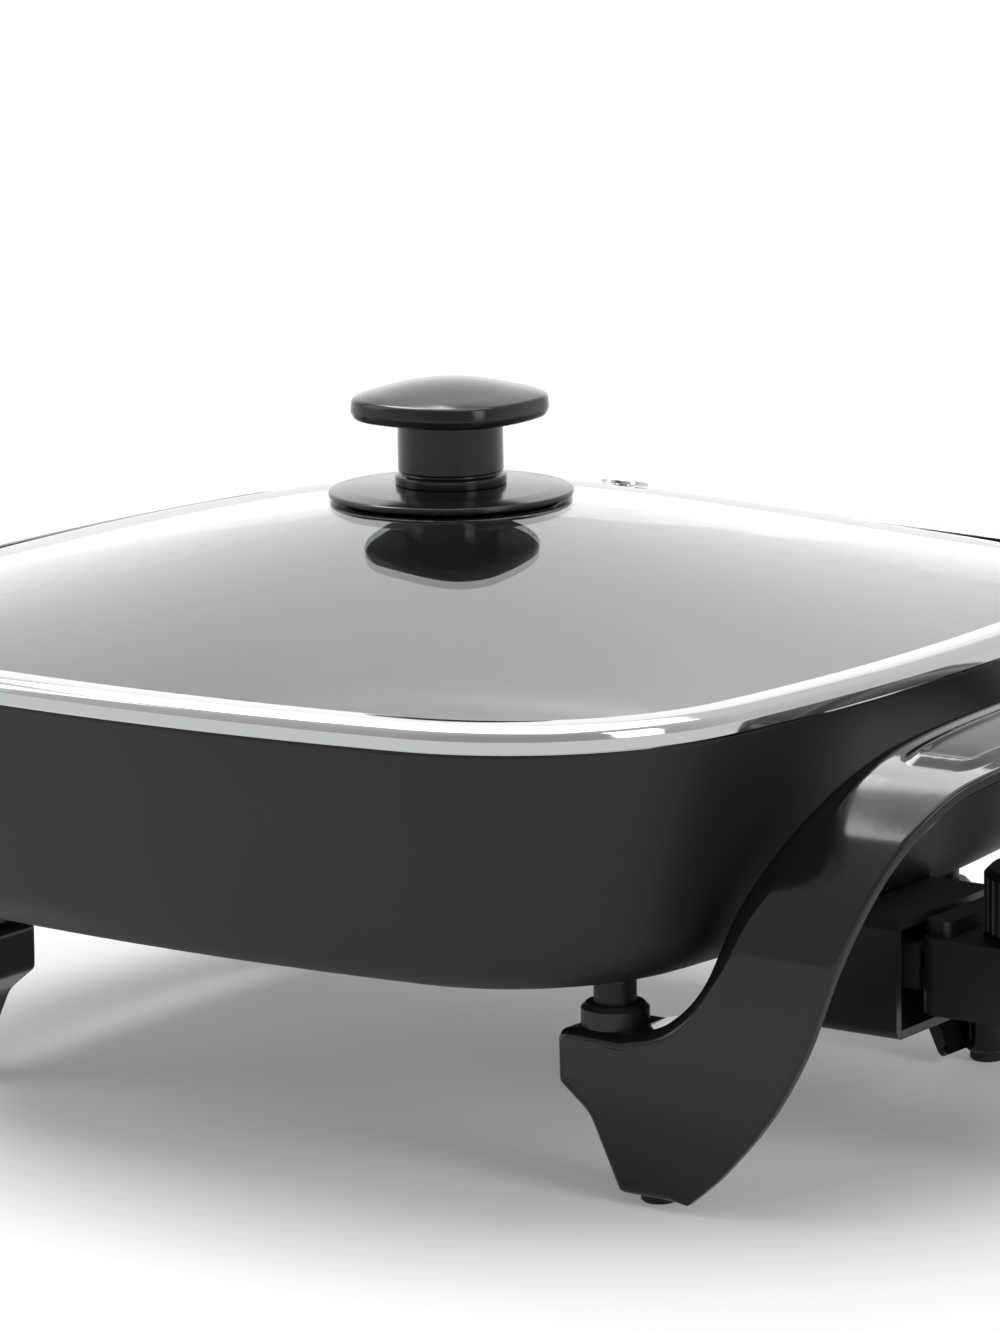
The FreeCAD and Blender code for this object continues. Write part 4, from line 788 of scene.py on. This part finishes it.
def make_world():
    """A white surround. Camera and glass rays see it at full strength. Mirror rays see it dimmer
    on the photographer's side, as in a studio, and matt surfaces are lit by less of it."""
    world = bpy.data.worlds.new("studio")
    bpy.context.scene.world = world
    world.use_nodes = True
    path = add_node(world, "ShaderNodeLightPath").outputs
    clear = add_node(world, "ShaderNodeMath", {"operation": "MAXIMUM"}, None,
                     {0: path["Is Camera Ray"], 1: path["Is Transmission Ray"]})
    place = add_node(world, "ShaderNodeTexCoord")
    facing = add_node(world, "ShaderNodeVectorMath", {"operation": "DOT_PRODUCT"},
                      {1: BRIGHT_SIDE}, {0: place.outputs["Generated"]})
    mirrored = add_node(world, "ShaderNodeMapRange", None,
                        {"From Min": -0.7, "From Max": 0.5, "To Min": DIM_SIDE_STRENGTH},
                        {"Value": facing.outputs["Value"]})
    glossy = add_node(world, "ShaderNodeMix", None, {2: MATT_STRENGTH},
                      {0: path["Is Glossy Ray"], 3: mirrored.outputs["Result"]})
    strength = add_node(world, "ShaderNodeMix", None, {3: 1.0},
                        {0: clear.outputs["Value"], 2: glossy.outputs[0]})
    back = world.node_tree.nodes["Background"]
    set_inputs(back, Color=(1, 1, 1, 1))
    link(world, strength.outputs[0], back.inputs["Strength"])
    bpy.context.scene.view_settings.view_transform = "Standard"


# Operators and panel

# Small parts in one colour: finish, colour, roughness from and to, metallic, nodes
SMALL_FINISHES = (
    # Moulded rubber is black and dull.
    ("foot_rubber", "#1d1d1d", 0.7, 0.85, 0.0, ("foot_pads",)),
    # Inlaid paint is a warm white, half matt.
    ("pointer_inlay", "#e8e8e4", 0.4, 0.5, 0.0, ("dial_pointer",)),
    # A heater's metal sheath goes brown grey with use.
    ("element_sheath", "#5b5651", 0.4, 0.55, 0.9, ("heating_element",)),
    # Glazed ceramic is cream and shiny.
    ("glazed_ceramic", "#dcd8cc", 0.2, 0.3, 0.0, ("terminal_insulators",)),
    # Silicone rubber is dark and matt.
    ("silicone_gasket", "#242424", 0.6, 0.7, 0.0, ("knob_gasket",)),
    # Plated brass stampings are yellow, with a soft shine.
    ("plated_brass", "#b59a5c", 0.28, 0.4, 1.0,
     ("contact_sleeves", "contact_blade", "shaft_bushing")),
    # The lamp's bulb is a pale orange, as when it is lit.
    ("lamp_envelope", "#e0a080", 0.1, 0.2, 0.0, ("neon_lamp",)),
    # Polished tinted plastic is deep red and glossy.
    ("tinted_lens", "#8a1710", 0.1, 0.16, 0.0, ("lamp_lens",)),
)


class SkilletStage(bpy.types.Operator):
    """Adds the camera, floor, lights and world"""
    bl_idname = "skillet.stage"
    bl_label = "Stage"

    def execute(self, context):
        make_camera()
        make_floor()
        make_lights()
        make_world()
        return {"FINISHED"}


class SkilletPan(bpy.types.Operator):
    """Finishes the coated pan"""
    bl_idname = "skillet.pan"
    bl_label = "Pan"

    def execute(self, context):
        repaint(coating_material(), "pan_body")
        return {"FINISHED"}


class SkilletLid(bpy.types.Operator):
    """Builds the glass, rim band and knob"""
    bl_idname = "skillet.lid"
    bl_label = "Lid"

    def execute(self, context):
        make_glass()
        make_band()
        make_knob()
        return {"FINISHED"}


class SkilletHandles(bpy.types.Operator):
    """Builds the two moulded handles"""
    bl_idname = "skillet.handles"
    bl_label = "Handles"

    def execute(self, context):
        make_handles()
        return {"FINISHED"}


class SkilletSmallParts(bpy.types.Operator):
    """Finishes the small CAD parts"""
    bl_idname = "skillet.small_parts"
    bl_label = "Small parts"

    def execute(self, context):
        repaint(phenolic_material("collar_phenolic", linear("#242425"), 0.35, 0.45), "leg_collars")
        repaint(control_material("guard_phenolic"), "socket_guard")
        repaint(control_material("control_shell_abs"), "lower_shell", "upper_shell", "probe_nose",
                "cord_gland")
        repaint(phenolic_material("dial_phenolic_satin", linear("#141516"), 0.38, 0.46), "dial")
        repaint(steel_material("zinc_plated_steel", linear("#b9bbbc"), 0.28, 0.4), "guard_screws",
                "leg_screws", "knob_screw", "knob_washer", "shell_screws", "thermostat_frame",
                "terminal_pins", "sensor_tube", "dial_shaft")
        repaint(steel_material("polished_eyelet", linear("#cfd1d0"), 0.14, 0.24), "vent_eyelet")
        for name, code, low, high, metal, nodes in SMALL_FINISHES:
            repaint(plain_material(name, code, low, high, metal), *nodes)
        return {"FINISHED"}


class SkilletPanel(bpy.types.Panel):
    """Sizes, colours and steps of the skillet"""
    bl_idname = "VIEW3D_PT_skillet"
    bl_label = "Skillet"
    bl_space_type = "VIEW_3D"
    bl_region_type = "UI"
    bl_category = "Skillet"

    def draw(self, context):
        for group in (context.scene.skillet_sizes, context.scene.skillet_colours):
            for key in group.__annotations__:
                self.layout.prop(group, key)
        for step in STEPS:
            self.layout.operator(step.bl_idname)


STEPS = (SkilletStage, SkilletPan, SkilletLid, SkilletHandles, SkilletSmallParts)
CLASSES = (SkilletColours, SkilletSizes, *STEPS, SkilletPanel)


def register():
    """Adds the classes and the scene's settings."""
    for item in CLASSES:
        bpy.utils.register_class(item)
    bpy.types.Scene.skillet_colours = bpy.props.PointerProperty(type=SkilletColours)
    bpy.types.Scene.skillet_sizes = bpy.props.PointerProperty(type=SkilletSizes)


def unregister():
    """Takes away what register adds."""
    del bpy.types.Scene.skillet_sizes
    del bpy.types.Scene.skillet_colours
    for item in reversed(CLASSES):
        bpy.utils.unregister_class(item)


def main():
    """Runs every step."""
    register()
    for step in STEPS:
        area, name = step.bl_idname.split(".")
        getattr(getattr(bpy.ops, area), name)()


if __name__ == "__main__":
    main()
